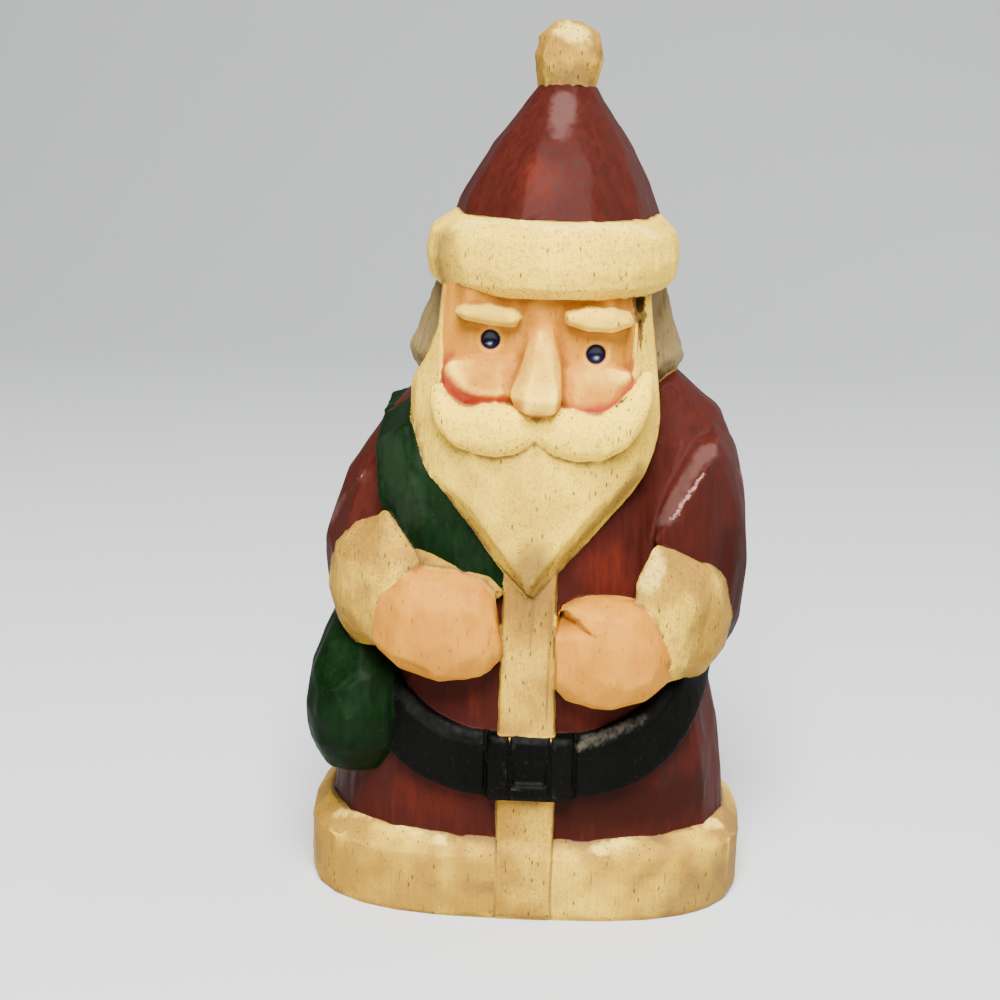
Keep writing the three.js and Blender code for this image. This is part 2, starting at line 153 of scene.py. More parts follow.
def carve(stations, sides, square=2, phase=0, wander=0, level=False, facing=front, facings=()):
    # a station is x, y, z, half width across, half depth in front and, if it differs, behind
    middles = [Vector(station[:3]) for station in stations]
    frames = []
    for i, middle in enumerate(middles):
        before, after = middles[max(i - 1, 0)], middles[min(i + 1, len(middles) - 1)]
        along = up if level else (after - before).normalized()
        towards = Vector(facings[i]) if i < len(facings) else facing
        towards = (towards - along * towards.dot(along)).normalized()
        frames.append((middle, towards, along.cross(towards)))

    def place(turn, row):
        middle, towards, aside = frames[row]
        across, ahead = stations[row][3:5]
        back = stations[row][5] if len(stations[row]) > 5 else ahead
        # corners wander round the ring in one slow and one quick wave
        uneven = turn + wander * (math.sin(2 * turn + sides) + 0.6 * math.sin(5 * turn))
        x, y = ringPoint(uneven, square, across, ahead, back)
        return middle + aside * x + towards * y

    return tube(sides, len(stations), phase, place)


def carvePair(piece):
    return [carve(stations, **piece["section"]) for stations in piece["stations"]]


def block(width, depth, height, middle):
    bm = bmesh.new()
    bmesh.ops.create_cube(bm, size=1)
    bmesh.ops.scale(bm, verts=bm.verts, vec=(width, depth, height))
    bmesh.ops.translate(bm, verts=bm.verts, vec=middle)
    return bm


def hull(corners):
    bm = bmesh.new()
    bmesh.ops.convex_hull(bm, input=[bm.verts.new(corner) for corner in corners])
    inside = [corner for corner in bm.verts if not corner.link_faces]
    bmesh.ops.delete(bm, geom=inside, context="VERTS")
    return bm


def cutWith(bm, other, operation="DIFFERENCE"):
    thing, tool = toObject(bm, "cut"), toObject(other, "tool")
    cut = thing.modifiers.new("Boolean", "BOOLEAN")
    cut.operation = operation
    cut.solver = "EXACT"
    cut.object = tool
    applyModifiers(thing)
    result = bmesh.new()
    result.from_mesh(thing.data)
    discard(thing)
    discard(tool)
    return result


def pared(bm, point, away):  # one straight knife cut
    geometry = [*bm.verts, *bm.edges, *bm.faces]
    cut = bmesh.ops.bisect_plane(bm, geom=geometry, plane_co=point, plane_no=away, clear_outer=True)
    bmesh.ops.holes_fill(bm, edges=only(bmesh.types.BMEdge, cut["geom_cut"]))
    return bm


lumps = []


def lump(name, forms, paint, tone, rough, soften):
    # forms carved together as one lump, with its paint, how light it is and how open its wood
    for bm in forms:
        if name != "hem":  # the hem alone is drawn about its own middle
            bmesh.ops.translate(bm, verts=bm.verts, vec=(work["midline"], 0, 0))
    parts = [toObject(bm, name) for bm in forms]
    thing = joined(parts, name)
    for part in parts:
        discard(part)
    voxelled(thing, work["formVoxel"], soften)
    lumps.append({"name": name, "thing": thing, "paint": paint, "tone": tone, "rough": rough})
    print("Carved", name, len(thing.data.vertices), "points")


# Coat and hem
coat = {
    "sides": 16, "square": 2.7,
    "sections": [  # height, half width, depth in front, depth behind
        (8, 35.9, 24.4, 19.6), (20.3, 34.8, 25.4, 20.3), (28, 34, 26.6, 20.5), (36, 32.2, 26.8, 20),
        (48, 29, 26, 19), (60, 27.5, 25.2, 18.5), (72, 26, 24, 18), (81, 24, 21, 17),
        (88, 19.5, 16, 14.5), (93, 13, 11, 11),
    ],
}
hem = {
    "sides": 28, "square": 3,
    "across": 38.7,
    "front": 27.3,
    "back": 22.5,
    "height": 11.4,
    "bevel": 2.9,
    "chamfer": 0.8,
    "below": 3,  # carved on below the floor, then sawn off flat
}


def coatAt(z):
    sections = coat["sections"]
    above = next((i for i, section in enumerate(sections) if section[0] > z), len(sections) - 1)
    low, high = sections[max(above - 1, 0)], sections[max(above, 1)]
    way = min(max((z - low[0]) / (high[0] - low[0]), 0), 1)
    return [lerp(low[i], high[i], way) for i in (1, 2, 3)]


def coatPoint(turn, z, proud=0):
    across, ahead, back = (size + proud for size in coatAt(z))
    x, y = ringPoint(turn, coat["square"], across, ahead, back)
    return Vector((x, -y, z))


def makeCoat():
    heights = [section[0] for section in coat["sections"]]
    halfSide = math.pi / coat["sides"]
    return tube(coat["sides"], len(heights), halfSide, lambda turn, row: coatPoint(turn, heights[row]))


def makeHem():
    below, chamfer, height, bevel = (hem[name] for name in ("below", "chamfer", "height", "bevel"))
    rings = [(-below, chamfer), (0, chamfer), (chamfer, 0), (height, 0), (height + bevel, bevel)]

    def place(turn, row):
        z, inset = rings[row]
        sizes = (hem["across"] - inset, hem["front"] - inset, hem["back"] - inset)
        x, y = ringPoint(turn, hem["square"], *sizes)
        return Vector((x, -y, z))

    return tube(hem["sides"], len(rings), 0, place)


# Placket, the fur strip down the front
placket = {
    "proud": 1.3,
    "hemProud": 0.25,
    "buried": 6,
    "sections": [  # height, left edge and right edge
        (hem["chamfer"], -4.9, 4.7),
        (hem["height"], -4.9, 4.7),
        (hem["height"] + hem["bevel"], -4.9, 4.7),
        (28, -4.9, 4.8), (36, -4.8, 4.4), (48, -4.7, 3.9), (62, -4.6, 4),
    ],
}


def makePlacket():
    def place(turn, row):
        z, left, right = placket["sections"][row]
        onHem = z <= hem["height"]
        face = hem["front"] + placket["hemProud"] if onHem else coatAt(z)[1] + placket["proud"]
        y = -face if math.cos(turn) > 0 else placket["buried"] - face
        return Vector((right if math.sin(turn) > 0 else left, y, z))

    return tube(4, len(placket["sections"]), math.pi / 4, place)


# Belt and buckle
belt = {
    "foot": 22.3,
    "width": 11.6,
    "proud": 1.9,
    "bevel": 2.4,
    "lip": 0.5,
    "buried": 1.5,
    "edges": (0.6, 0.3),  # how proud its lower and upper edges are, as shares
    "rise": 22,  # how much higher it lies at the hips than in front
    "dip": 2.2,  # how late it starts to rise
    "behind": (0.8, 0.2),  # shares of the rise: behind the middle, and added towards the hips
    "sides": 72,
    "buckle": (14.4, 6, 0.6),  # its width, its depth and how proud it stands
    "buckleBevel": 1,
    "opening": (6, 2.6, 5.2),
    "drop": 0.1,  # how far the opening sits below the middle
    "middle": 0.5,
}


def makeBelt():
    proud, width, buried = belt["proud"], belt["width"], belt["buried"]
    lower, upper = (share * proud for share in belt["edges"])
    rings = [(0, -buried), (0, lower), (belt["lip"], proud)]
    rings += [(width - belt["bevel"], proud), (width, upper), (width, -buried)]

    def place(turn, row):
        rise, out = rings[row]
        side = abs(math.sin(turn))
        behind, added = belt["behind"]
        higher = side ** belt["dip"] if math.cos(turn) > 0 else behind + added * side**2
        return coatPoint(turn, belt["foot"] + rise + belt["rise"] * higher, out)

    return tube(belt["sides"], len(rings), 0, place)


def makeBuckle():
    width, depth, proud = belt["buckle"]
    middle = belt["foot"] + belt["width"] / 2
    face = coatAt(middle)[1] + belt["proud"] + proud
    plate = block(width, depth, belt["width"], (belt["middle"], depth / 2 - face, middle))
    ahead = [edge for edge in plate.edges if all(corner.co.y < depth / 2 - face for corner in edge.verts)]
    bmesh.ops.bevel(plate, geom=ahead, offset=belt["buckleBevel"], affect="EDGES", segments=1)
    return cutWith(plate, block(*belt["opening"], (belt["middle"], -face, middle - belt["drop"])))


# Sleeves, cuffs and mittens
sleeves = {
    "section": {"sides": 10, "square": 2.5, "wander": 0.05},
    "stations": [  # right, then left
        [
            (19, -3, 89, 5.5, 9, 9), (24.6, -3.5, 82, 8, 9.5, 12), (27.2, -4, 72, 8.8, 11.5, 14),
            (28.2, -4.5, 61, 8.8, 12.5, 14), (28.2, -4, 51, 8.2, 13, 13.5), (27.8, -3, 44.6, 6, 9, 11),
        ],
        [
            (-17.4, -2, 88, 3.6, 7, 9), (-20.8, -3, 81, 6.2, 9.6, 12), (-25, -4, 71, 8.6, 13.4, 14),
            (-27.6, -4.5, 61, 9.2, 15, 14), (-27.4, -4, 53, 8.4, 13, 13.5), (-26.6, -3, 46, 6.4, 9, 11),
        ],
    ],
}
cuffs = {
    "section": {"sides": 12, "square": 2.3, "wander": 0.04, "facing": up},
    "stations": [  # right, then left
        [
            (27.6, -6, 51.5, 6.4, 8.6), (26.4, -12, 52, 8, 11), (24.4, -18, 53, 8.2, 11.4),
            (23.6, -22, 53, 6.4, 9.6),
        ],
        [
            (-28.4, -6, 56, 6.4, 8.6), (-27.4, -12, 56.6, 8, 11), (-25.6, -18, 57, 8.4, 11.6),
            (-23.6, -22, 56.8, 7, 10),
        ],
    ],
}
mittens = {
    "section": {"sides": 14, "square": 2.4, "wander": 0.04},
    "stations": [  # right, then left
        [
            (20.6, -24, 49.8, 7.2, 5, 6), (17, -26, 49.2, 9, 6.8, 6), (12.5, -27, 48.8, 9.8, 7.2, 6),
            (7.2, -27, 48.8, 8.8, 6.6, 6), (4.6, -26.8, 48.8, 7, 5.4, 5),
        ],
        [
            (-23, -24, 54, 7.4, 5.5, 6), (-19.6, -26, 53.4, 9, 7, 6), (-13.8, -27, 52.6, 9.8, 7.3, 6),
            (-8.2, -27, 52.4, 8.4, 6.8, 6), (-5.4, -26.8, 52.8, 5.8, 5.4, 5),
        ],
    ],
}


folds = [  # flat-sided forms in front of the sleeves, each the hull of its corners
    [  # the chest and shoulder beside the beard
        (12, -22.5, 66), (12, -19, 80), (14, -13, 89), (18, -21.5, 60), (21.4, -18.8, 62),
        (23.2, -16.6, 70.9), (25.4, -15.4, 76.1), (27.4, -13.4, 81.7), (28.8, -11, 85.2),
        (22.5, -8, 92), (24.9, -10.2, 88.8), (30, -4.5, 86), (20, -2, 88), (30, 0, 60), (14, -8, 64),
    ],
    [  # the fold, its lit side rising from the chest to a worn edge
        (20, -23, 67.2), (22.3, -22.4, 70.4), (25.8, -21.4, 75), (27.5, -20, 77.9), (29.4, -17.4, 80.7),
        (19.6, -17, 65), (20.9, -15.6, 70.5), (22.2, -14, 75), (23.4, -12.6, 78.7), (25, -11.8, 82.7),
        (30.2, -13.4, 83.2), (31.4, -12.4, 81.6), (32.9, -13, 78.7), (34.6, -12.4, 71.5), (35.8, -11, 64),
        (33.4, -4.5, 81.2), (35.2, -4.5, 75.8), (36.5, -4.5, 68), (36.6, -4, 60),
        (30, -18.4, 62), (23, -22.6, 60), (35.4, -10, 57), (26, -2, 64),
    ],
    [
        (-26.2, -15.6, 75.6), (-29.4, -14.4, 74.2), (-32, -12, 72), (-34.9, -9, 67.2),  # the crest
        (-26, -8, 80), (-30.2, -7.6, 76.6), (-25.6, -18.6, 67), (-33.2, -13.4, 60), (-35.8, -8, 58),
        (-23, -5, 76), (-27, -3, 60),
    ],
]
cuffEnds = [  # the whittled ends of both cuffs, right then left
    [
        (20.1, -26, 67.7), (18.2, -27, 64.7), (16.6, -27.4, 60.8), (17.4, -29, 52), (17.8, -27, 43.6),
        (22.4, -24, 42.2), (26.3, -22, 43.4), (29.4, -20, 44.9), (32.3, -16, 47.4), (33, -17, 52.6),
        (32.9, -17.5, 56), (31.8, -17.5, 59.2), (29.4, -21, 62.3), (26.5, -22.5, 63.9),
        (22.2, -28.8, 61.6), (23.4, -29.6, 53), (27.6, -26.4, 57), (24.4, -27.8, 46.4),
        (26, -12, 60), (30, -12, 48), (24, -12, 46),
    ],
    [
        (-24.4, -24, 71.2), (-22.7, -26.5, 68.2), (-18.8, -27.5, 64.5), (-21.9, -29, 61.2), (-25, -29, 55.2),
        (-26.3, -27.6, 49.9), (-33.9, -18, 58.7), (-32.7, -18, 62.4), (-30.5, -18, 65.6), (-27.6, -19, 68.5),
        (-32.7, -18, 50.5), (-27.4, -22, 47.2), (-21.8, -24, 46.9), (-19, -24.5, 52), (-17.5, -25, 60),
        (-28, -25.6, 63), (-30, -24, 56), (-26, -12, 64), (-30, -12, 50), (-24, -12, 50),
    ],
]


def makeCoatForms():
    return [makeCoat(), *carvePair(sleeves), *map(hull, folds)]


def makeCuffs():
    return [*carvePair(cuffs), *map(hull, cuffEnds)]


# Sack: a neck over the shoulder and down the chest, a swell at the hip, and the bag behind
sack = {
    "neck": {
        "sides": 6,
        "facings": [(0, 1, 0), (0, 0, 1), (-0.3, -0.5, 0.8), (-0.3, -0.9, 0.3), (-0.2, -1, 0)],
        "stations": [
            (-19.4, 9.5, 77, 5.4, 3), (-20.2, 2.6, 84.2, 7.4, 3.6), (-20.2, -8, 84.2, 7.6, 3.4),
            (-20.4, -17, 81, 7.6, 4.4), (-19.2, -21, 74.4, 8, 4.2), (-15.8, -23.2, 66.8, 7.6, 4),
            (-10.6, -24.6, 61.4, 5.6, 3.4), (-4.6, -25.2, 58.6, 2.2, 2),
        ],
    },
    "hip": {
        "sides": 12, "square": 3, "wander": 0.05, "level": True,
        "stations": [
            (-30, -8, 22.6, 3.6, 10, 10), (-30, -9, 24.8, 6.6, 14, 16),
            (-29.6, -9.6, 29.6, 8.9, 16.8, 20), (-29.4, -10, 36, 9.4, 17.6, 22),
            (-29.4, -9.4, 42, 8.6, 16.6, 22), (-29.6, -7, 48, 5.8, 12, 22), (-26.6, 0, 54, 4.6, 6, 16),
        ],
    },
    "hipCuts": [((-25.9, -25.1, 41), (0.42, -0.72, 0.55)), ((-31, -25, 41.4), (-0.35, -0.62, 0.7))],
    "bag": {
        "sides": 13, "square": 2.3, "wander": 0.05, "level": True,
        "stations": [
            (-19, 8, 21.6, 14, 10, 9), (-18.4, 8, 26, 18.4, 13, 14.4), (-18, 8, 37, 20, 14, 17.2),
            (-18, 8, 50, 17.4, 12, 16.2), (-18.6, 8, 64, 13.6, 8, 13.6), (-19, 7, 76, 10, 5, 11),
            (-19, 4.6, 85.4, 6.6, 5, 7.4),
        ],
    },
}


def makeSack():
    hip = carve(**sack["hip"])
    for point, away in sack["hipCuts"]:
        pared(hip, point, away)
    return [carve(**sack["neck"]), hip, carve(**sack["bag"])]


# Head: hair, beard, face and moustache
hair = {
    "sides": 14, "square": 2.4, "wander": 0.04, "level": True,
    "stations": [
        (0.6, 0, 88, 18.5, 12, 16), (0.7, 0, 90.6, 21.8, 13, 18), (0.9, 0, 94.4, 24.2, 13, 19),
        (1.1, 0, 100, 22, 13, 18), (1.3, 0, 106, 20.2, 13, 16.5), (1.3, 0, 110, 18, 12, 15),
    ],
}
beard = {
    "rightEdge": [(15.6, 74.6), (20.8, 82), (19.9, 89.5)],  # each a start, a pull and an end
    "leftEdge": [(-21.3, 91), (-22.2, 82.6), (-14.6, 72)],
    "tip": (0.1, 56.8),
    "top": [(17.6, 108), (-15.9, 108), (-16.6, 100.5), (-18.6, 95.6)],
    "shoulder": (-7.8, 62.4),
    "face": -30.6,
    "back": -7,
    "rounding": {
        "sides": 18, "square": 2.6, "level": True,
        "stations": [
            (0, -5, 54, 23, 23.2, 8), (0, -5, 66, 23, 24.4, 8), (0, -5, 80, 23, 25.2, 8),
            (0, -5, 90, 22.5, 24.4, 8), (0, -5, 100, 21.5, 22.6, 8), (0, -5, 109, 21, 21.5, 8),
        ],
    },
    "window": (30.8, 40, 24, (-0.2, -20, 98)),
    "pared": [((-6.8, -29.5, 69.3), (-0.65, -0.6, -0.46)), ((7.5, -29.2, 71), (0.66, -0.57, -0.49))],
}
face = {
    "head": {
        "sides": 16, "square": 4, "level": True,
        "stations": [
            (-0.2, -4, 80, 18.8, 21, 10), (-0.2, -4, 92, 18.9, 22.2, 10), (0, -4, 102, 18.5, 22, 10),
            (0.2, -4, 109, 17.4, 22.6, 10),
        ],
    },
    "sides": [(-15.8, -1), (16.6, 1)],  # planes that pare its sides off inside the beard
    "nose": [  # height, left foot, left edge, right edge, right foot, depth of its front
        (88.9, -1.9, -1, 1.9, 2.7, -31.2), (89.7, -3.4, -1.7, 2.7, 3.6, -33.3),
        (91.9, -4.4, -1.6, 3.2, 4, -34.2), (97, -2.6, -0.6, 2.3, 3.6, -31.2),
        (101.3, -1.5, 0, 1.7, 2.6, -28.2), (102.7, -1.5, 0, 1.7, 2.8, -26.8),
        (104.8, -2.2, -0.6, 2.4, 3.8, -26.7),
    ],
    "noseRoot": -24,
    "noseWings": 0.62,  # how far out its feet stand, from the root to the front
    "cheeks": [  # outlines as x and z, clockwise from the outer top corner
        [(-14.4, 96.4), (-9.3, 97.3), (-3.6, 97), (-3, 93.4), (-3, 89.8), (-6, 88.6), (-9.7, 88.5),
         (-12.6, 89.4), (-14.8, 91.6), (-15.6, 94.5)],
        [(4.3, 95.7), (7.7, 96.2), (11.9, 96.1), (14.8, 95.3), (15.4, 92.8), (13.6, 88.6), (11.2, 86.8),
         (6.9, 86.7), (4, 88.2), (3.8, 92.8)],
    ],
    "cheekFront": -27.7,
    "cheekRim": (2.4, 1.6, 0.6, 0.36),  # width and depth of the sloping rim, extra width below, and lean
    "brows": [
        [(-13.8, 104.6), (-12.3, 105.5), (-7.8, 105.7), (-4.1, 105), (-2.8, 103.9), (-3.8, 102.3),
         (-7.8, 102.5), (-12, 103.3)],
        [(4.1, 104.7), (7.4, 105.7), (11.6, 105.6), (14.5, 104.8), (15, 103.2), (11.7, 101.9),
         (7.5, 102), (4.3, 103)],
    ],
    "browFront": -28.6,
    "browRim": (0.9, 1.3, 0, 0),
    "padBack": -22,
    "blush": [  # along the cheeks' lower rims, as x, z and strength
        [(-13.6, 98, 0.4), (-15.4, 95.6, 0.7), (-14.8, 93, 1), (-12.8, 90.8, 1.2), (-9.6, 89.8, 1.2),
         (-5.6, 90.4, 0.8)],
        [(11.6, 97.4, 0.35), (15.2, 95.4, 0.5), (14.2, 90.6, 1), (11.8, 88.9, 1.3), (8.6, 88.4, 1.3),
         (5.2, 89, 0.9)],
    ],
    "blushWidth": 5,
    "blushFront": -15,  # blush and eyes are painted only ahead of this y
    "paintedShadow": [  # painted shadow in the gap at the temple and in the cheek's corner: width and path
        (2.6, [(15.4, 107.4, 1), (16.2, 103.6, 1)]),
        (0.9, [(16.3, 103, 1), (16.2, 98.6, 0.7)]),
        (1.2, [(12.6, 90.3, 0.6), (14.2, 91.7, 0.6)]),
    ],
    "shadowFront": -12,
    "eyes": [(-7.8, 100), (9.1, 98.1)],
    "eyeWidth": 3.4,
    "eyeDepth": 1.3,
    "eyeFront": -20,  # the drill bites only ahead of this y
    "eyeFacing": -0.5,  # and only where the normal's y is below this
}
moustache = {
    "section": {"sides": 14, "square": 2.6, "phase": math.pi / 14},
    "stations": [  # left, then right
        [
            (1.6, -27.8, 86.8, 1.4, 1.4), (-0.6, -28.3, 86.7, 2.7, 2.6), (-3.6, -28.7, 86.2, 3.9, 3.3),
            (-6.4, -28.8, 86, 4.3, 3.4), (-9.2, -28.3, 86, 4, 3.2), (-11.9, -27.4, 86.1, 3.4, 3),
            (-14.1, -26.5, 87.6, 2.7, 2.7), (-15.6, -25.6, 89.8, 1.9, 2.2),
            (-16.4, -24.9, 92.4, 0.9, 1.4),
        ],
        [
            (-1.4, -27.8, 86.8, 1.4, 1.4), (0.4, -28.3, 86.7, 2.7, 2.6), (3.8, -28.8, 86.1, 3.9, 3.4),
            (6.8, -28.7, 85.3, 4, 3.4), (9.8, -28.2, 85.2, 3.8, 3.2), (12.4, -27.4, 86.2, 3.6, 3.1),
            (14.6, -26.4, 88.4, 3, 2.8), (16.5, -25, 91.4, 2.1, 2.4), (17.8, -23, 95, 0.8, 1.2),
        ],
    ],
}
temple = [  # a gap the knife left open beside the right temple
    *((x, y, 108) for x in (14.9, 17) for y in (-19, -32)),
    *((x, y, 102.8) for x in (15.8, 16.1) for y in (-20, -32)),
]


def bend(start, pull, end, points=7):  # a curve with one pull, as points of x and z
    start, pull, end = map(Vector, (start, pull, end))
    return interpolate_bezier(start, start.lerp(pull, 2 / 3), end.lerp(pull, 2 / 3), end, points)


def slab(outline, ahead, back):  # an outline of x and z, carried from the front to the back
    bm = bmesh.new()
    flat = bm.faces.new([bm.verts.new((x, ahead, z)) for x, z in outline])
    grown = bmesh.ops.extrude_face_region(bm, geom=[flat])["geom"]
    bmesh.ops.translate(bm, verts=only(bmesh.types.BMVert, grown), vec=(0, back - ahead, 0))
    bmesh.ops.recalc_face_normals(bm, faces=bm.faces)
    return bm, flat


def makeBeard():
    outline = [beard["tip"], *bend(*beard["rightEdge"]), *beard["top"], *bend(*beard["leftEdge"])]
    plank = slab([*outline, beard["shoulder"]], beard["face"], beard["back"])[0]
    rounded = cutWith(plank, carve(**beard["rounding"]), "INTERSECT")
    opened = cutWith(rounded, block(*beard["window"]))
    for point, away in beard["pared"]:
        pared(opened, point, away)
    return cutWith(opened, hull(temple))


def makeHair():
    return cutWith(carve(**hair), hull(temple))


def pad(outline, ahead, rim):  # a flat pad with a sloping rim
    width, depth, lift, lean = rim
    bm, flat = slab(outline, ahead + depth, face["padBack"])
    bmesh.ops.inset_region(bm, faces=[flat], thickness=width, use_even_offset=True)
    bmesh.ops.translate(bm, verts=flat.verts, vec=(0, -depth, lift))
    middle = flat.calc_center_median()
    for corner in flat.verts:
        corner.co.y += lean * (corner.co.z - middle.z)
    return bm


def makeNose():
    def place(turn, row):  # two corners on its ridge, two at its wings and two at its root
        z, leftFoot, leftEdge, rightEdge, rightFoot, ahead = face["nose"][row]
        root = face["noseRoot"]
        onRight, forward = math.sin(turn) > 0, math.cos(turn)
        if forward > 0.5:
            return Vector((rightEdge if onRight else leftEdge, ahead, z))
        y = lerp(root, ahead, face["noseWings"]) if forward > -0.5 else root
        return Vector((rightFoot if onRight else leftFoot, y, z))

    return tube(6, len(face["nose"]), math.pi / 6, place)


def makeHead():
    head = cutWith(carve(**face["head"]), hull(temple))
    for x, side in face["sides"]:
        pared(head, (x, 0, 0), (side, 0, 0))
    cheeks = [pad(outline, face["cheekFront"], face["cheekRim"]) for outline in face["cheeks"]]
    return [head, makeNose(), *cheeks]


def makeBrows():
    return [pad(outline, face["browFront"], face["browRim"]) for outline in face["brows"]]


# Hat
brim = {
    "sides": 20, "square": 2.3, "wander": 0.02, "level": True,
    "stations": [
        (1.5, -6, 107, 18.7, 21.7, 20.3), (1.5, -6, 108.6, 20.7, 24, 22.2),
        (1.5, -6, 112, 21.3, 24.6, 23), (1.5, -6, 116.3, 20.6, 23.9, 22.3),
        (1.9, -6, 118.6, 17.6, 20.8, 19.6), (1.9, -6, 118.8, 16.6, 19.8, 18.6),
    ],
}
cone = {
    "sides": 9, "phase": math.pi / 9, "wander": 0.05, "level": True,
    "stations": [
        (2.1, -6, 115, 18.8, 21.4, 20), (2, -6, 121.8, 16.6, 18.4, 17),
        (2.4, -6, 126.3, 14.2, 15.8, 14.6), (2.6, -5.6, 131, 11.2, 12.6, 11.8),
        (2.8, -5, 135.2, 7.9, 9, 8.6), (3.1, -4.4, 139.6, 4.8, 5, 5),
    ],
}
bobble = {
    "sides": 8, "wander": 0.06, "level": True,
    "stations": [
        (3.1, -4.4, 138.2, 4.6, 4.8), (3.1, -4.4, 141.2, 5.5, 5.6), (3.2, -4.4, 144, 6, 6),
        (3.2, -4.4, 147.8, 5, 5), (3, -4.4, 149.7, 2.4, 2.6),
    ],
}

# All the lumps: forms, paint, tone, how open the wood is and rounds of softening
lump("coat", makeCoatForms(), "red", 0, 0, 2)
lump("hatCone", [carve(**cone)], "red", 0, 0, 12)
lump("sack", makeSack(), "green", 0, 0, 4)
lump("belt", [makeBelt(), makeBuckle()], "black", 0, 0, 1)
lump("face", makeHead(), "skin", 1, 0.45, 6)
lump("mittens", carvePair(mittens), "skin", 0.05, 0.5, 6)
lump("brows", makeBrows(), "cream", 0.35, 0.3, 2)
lump("hem", [makeHem()], "cream", -0.3, 0.6, 3)
lump("placket", [makePlacket()], "cream", -0.5, 0.9, 1)
lump("cuffs", makeCuffs(), "cream", -0.35, 1, 2)
lump("hair", [makeHair()], "cream", -0.9, 0.8, 3)
lump("beard", [makeBeard()], "cream", 0.45, 0.8, 1)
lump("moustache", carvePair(moustache), "cream", 1, 0.9, 6)
lump("brim", [carve(**brim)], "cream", 0.75, 0.9, 2)
lump("bobble", [carve(**bobble)], "cream", -0.4, 0.9, 3)

# The whole figure
body = voxelled(joined([each["thing"] for each in lumps], "carvedSanta"), work["bodyVoxel"], 1)
print("Body", len(body.data.vertices), "points")


def read(things, field, width=3):
    values = np.empty(len(things) * width, dtype=np.float32)
    things.foreach_get(field, values)
    return values.reshape(-1, width).astype(np.float64) if width > 1 else values


def makeTree(things):
    bm = bmesh.new()
    counts = []
    for thing in things:
        bm.from_mesh(thing.data)
        counts.append(len(bm.faces))
    tree = BVHTree.FromBMesh(bm)
    bm.free()
    return tree, counts


def ownersOf(spots):  # which lump each spot of the surface belongs to
    tree, counts = makeTree([each["thing"] for each in lumps])
    found = np.array([tree.find_nearest(spot)[2] for spot in spots])
    return np.searchsorted(counts, found, side="right")


def owned(owners, names):
    return np.isin(owners, [i for i, each in enumerate(lumps) if each["name"] in names])


def alongPath(points, width, path):  # how deep in a line seen from the front each point lies, 0 to 1
    spots = points[:, [0, 2]] - (work["midline"], 0)
    cut = np.zeros(len(points))
    for start, end in zip(path, path[1:]):
        line = np.subtract(end, start)[:2]
        way = np.clip((spots - start[:2]) @ line / (line @ line), 0, 1)
        away = np.linalg.norm(spots - start[:2] - way[:, None] * line, axis=1)
        cut = np.maximum(cut, lerp(start[2], end[2], way) - away / (width / 2))
    return cut


whittling = {
    "evening": 2,  # rounds that even out the flats' sizes
    "near": 3,  # how many flats each point is drawn towards
    "blend": 0.1,  # how softly neighbouring flats meet
    "groove": 0.4,  # how much of the noise lies in a groove between strands
    "slope": 2.4,  # how steep that groove's sides are
}


class Knife:
    # every cut moves points of the surface; points and normals are arrays
    def __init__(self, thing):
        self.points = read(thing.data.vertices, "co")
        self.normals = read(thing.data.vertex_normals, "vector")
        self.owners = ownersOf(self.points)

    def score(self, names, width, depth, path):
        chosen = np.flatnonzero(owned(self.owners, names) & (self.normals[:, 1] < work["facing"]))
        self.points[chosen, 1] += depth * alongPath(self.points[chosen], width, path)

    def dimple(self, middle, width, depth):  # a drilled eye
        spots = self.points[:, [0, 2]] - (middle[0] + work["midline"], middle[1])
        away = np.linalg.norm(spots, axis=1) / (width / 2)
        inside = (away < 1) & (self.normals[:, 1] < face["eyeFacing"])
        inside &= self.points[:, 1] < face["eyeFront"]
        self.points[inside, 1] += depth * np.sqrt(1 - away[inside] ** 2)

    def facets(self, seed, names, size, most, tilt, long):
        # whittled all over: each cell of the surface is pressed towards a slightly tilted flat of its own
        chosen = np.flatnonzero(owned(self.owners, names))
        shrink = np.array((1, 1, 1 / long))
        draw = np.random.default_rng(seed)
        count = int(len(chosen) * work["bodyVoxel"] ** 2 / size**2)
        middles = self.points[draw.choice(chosen, count, replace=False)]

        def average(values):
            sums = [np.bincount(cell[:, 0], values[chosen, axis], count) for axis in range(3)]
            return np.stack(sums, 1) / np.bincount(cell[:, 0], minlength=count).clip(1)[:, None]

        for _ in range(whittling["evening"]):
            tree = KDTree(count)
            for i, middle in enumerate(middles):
                tree.insert(middle * shrink, i)
            tree.balance()
            found = [tree.find_n(spot, whittling["near"]) for spot in self.points[chosen] * shrink]
            cell = np.array([[hit[1] for hit in hits] for hits in found])
            away = np.array([[hit[2] for hit in hits] for hits in found])
            middles = average(self.points)
        across = average(self.normals) + draw.normal(0, tilt, (count, 3))
        across /= np.linalg.norm(across, axis=1, keepdims=True)
        weight = np.exp((away[:, :1] ** 2 - away**2) / (whittling["blend"] * size**2))
        weight /= weight.sum(axis=1, keepdims=True)
        move = np.zeros((len(chosen), 3))
        for flat, share in zip(cell.T, weight.T):
            out = ((self.points[chosen] - middles[flat]) * across[flat]).sum(axis=1)
            step = most * np.tanh(out / most) * share
            move += step[:, None] * across[flat]
        self.points[chosen] -= move

    def uneven(self, names, amount, scale, stretch, seed, ridged):
        for i in np.flatnonzero(owned(self.owners, names)):
            spot = Vector(self.points[i] * stretch) / scale + Vector((seed, 0, 0))
            value = noise.noise(spot)
            if ridged:
                value = whittling["slope"] * abs(value) - 1 if abs(value) < whittling["groove"] else 0
            self.points[i] += self.normals[i] * amount * value

    def finish(self, thing):
        thing.data.vertices.foreach_set("co", self.points.astype(np.float32).ravel())
        thing.data.update()


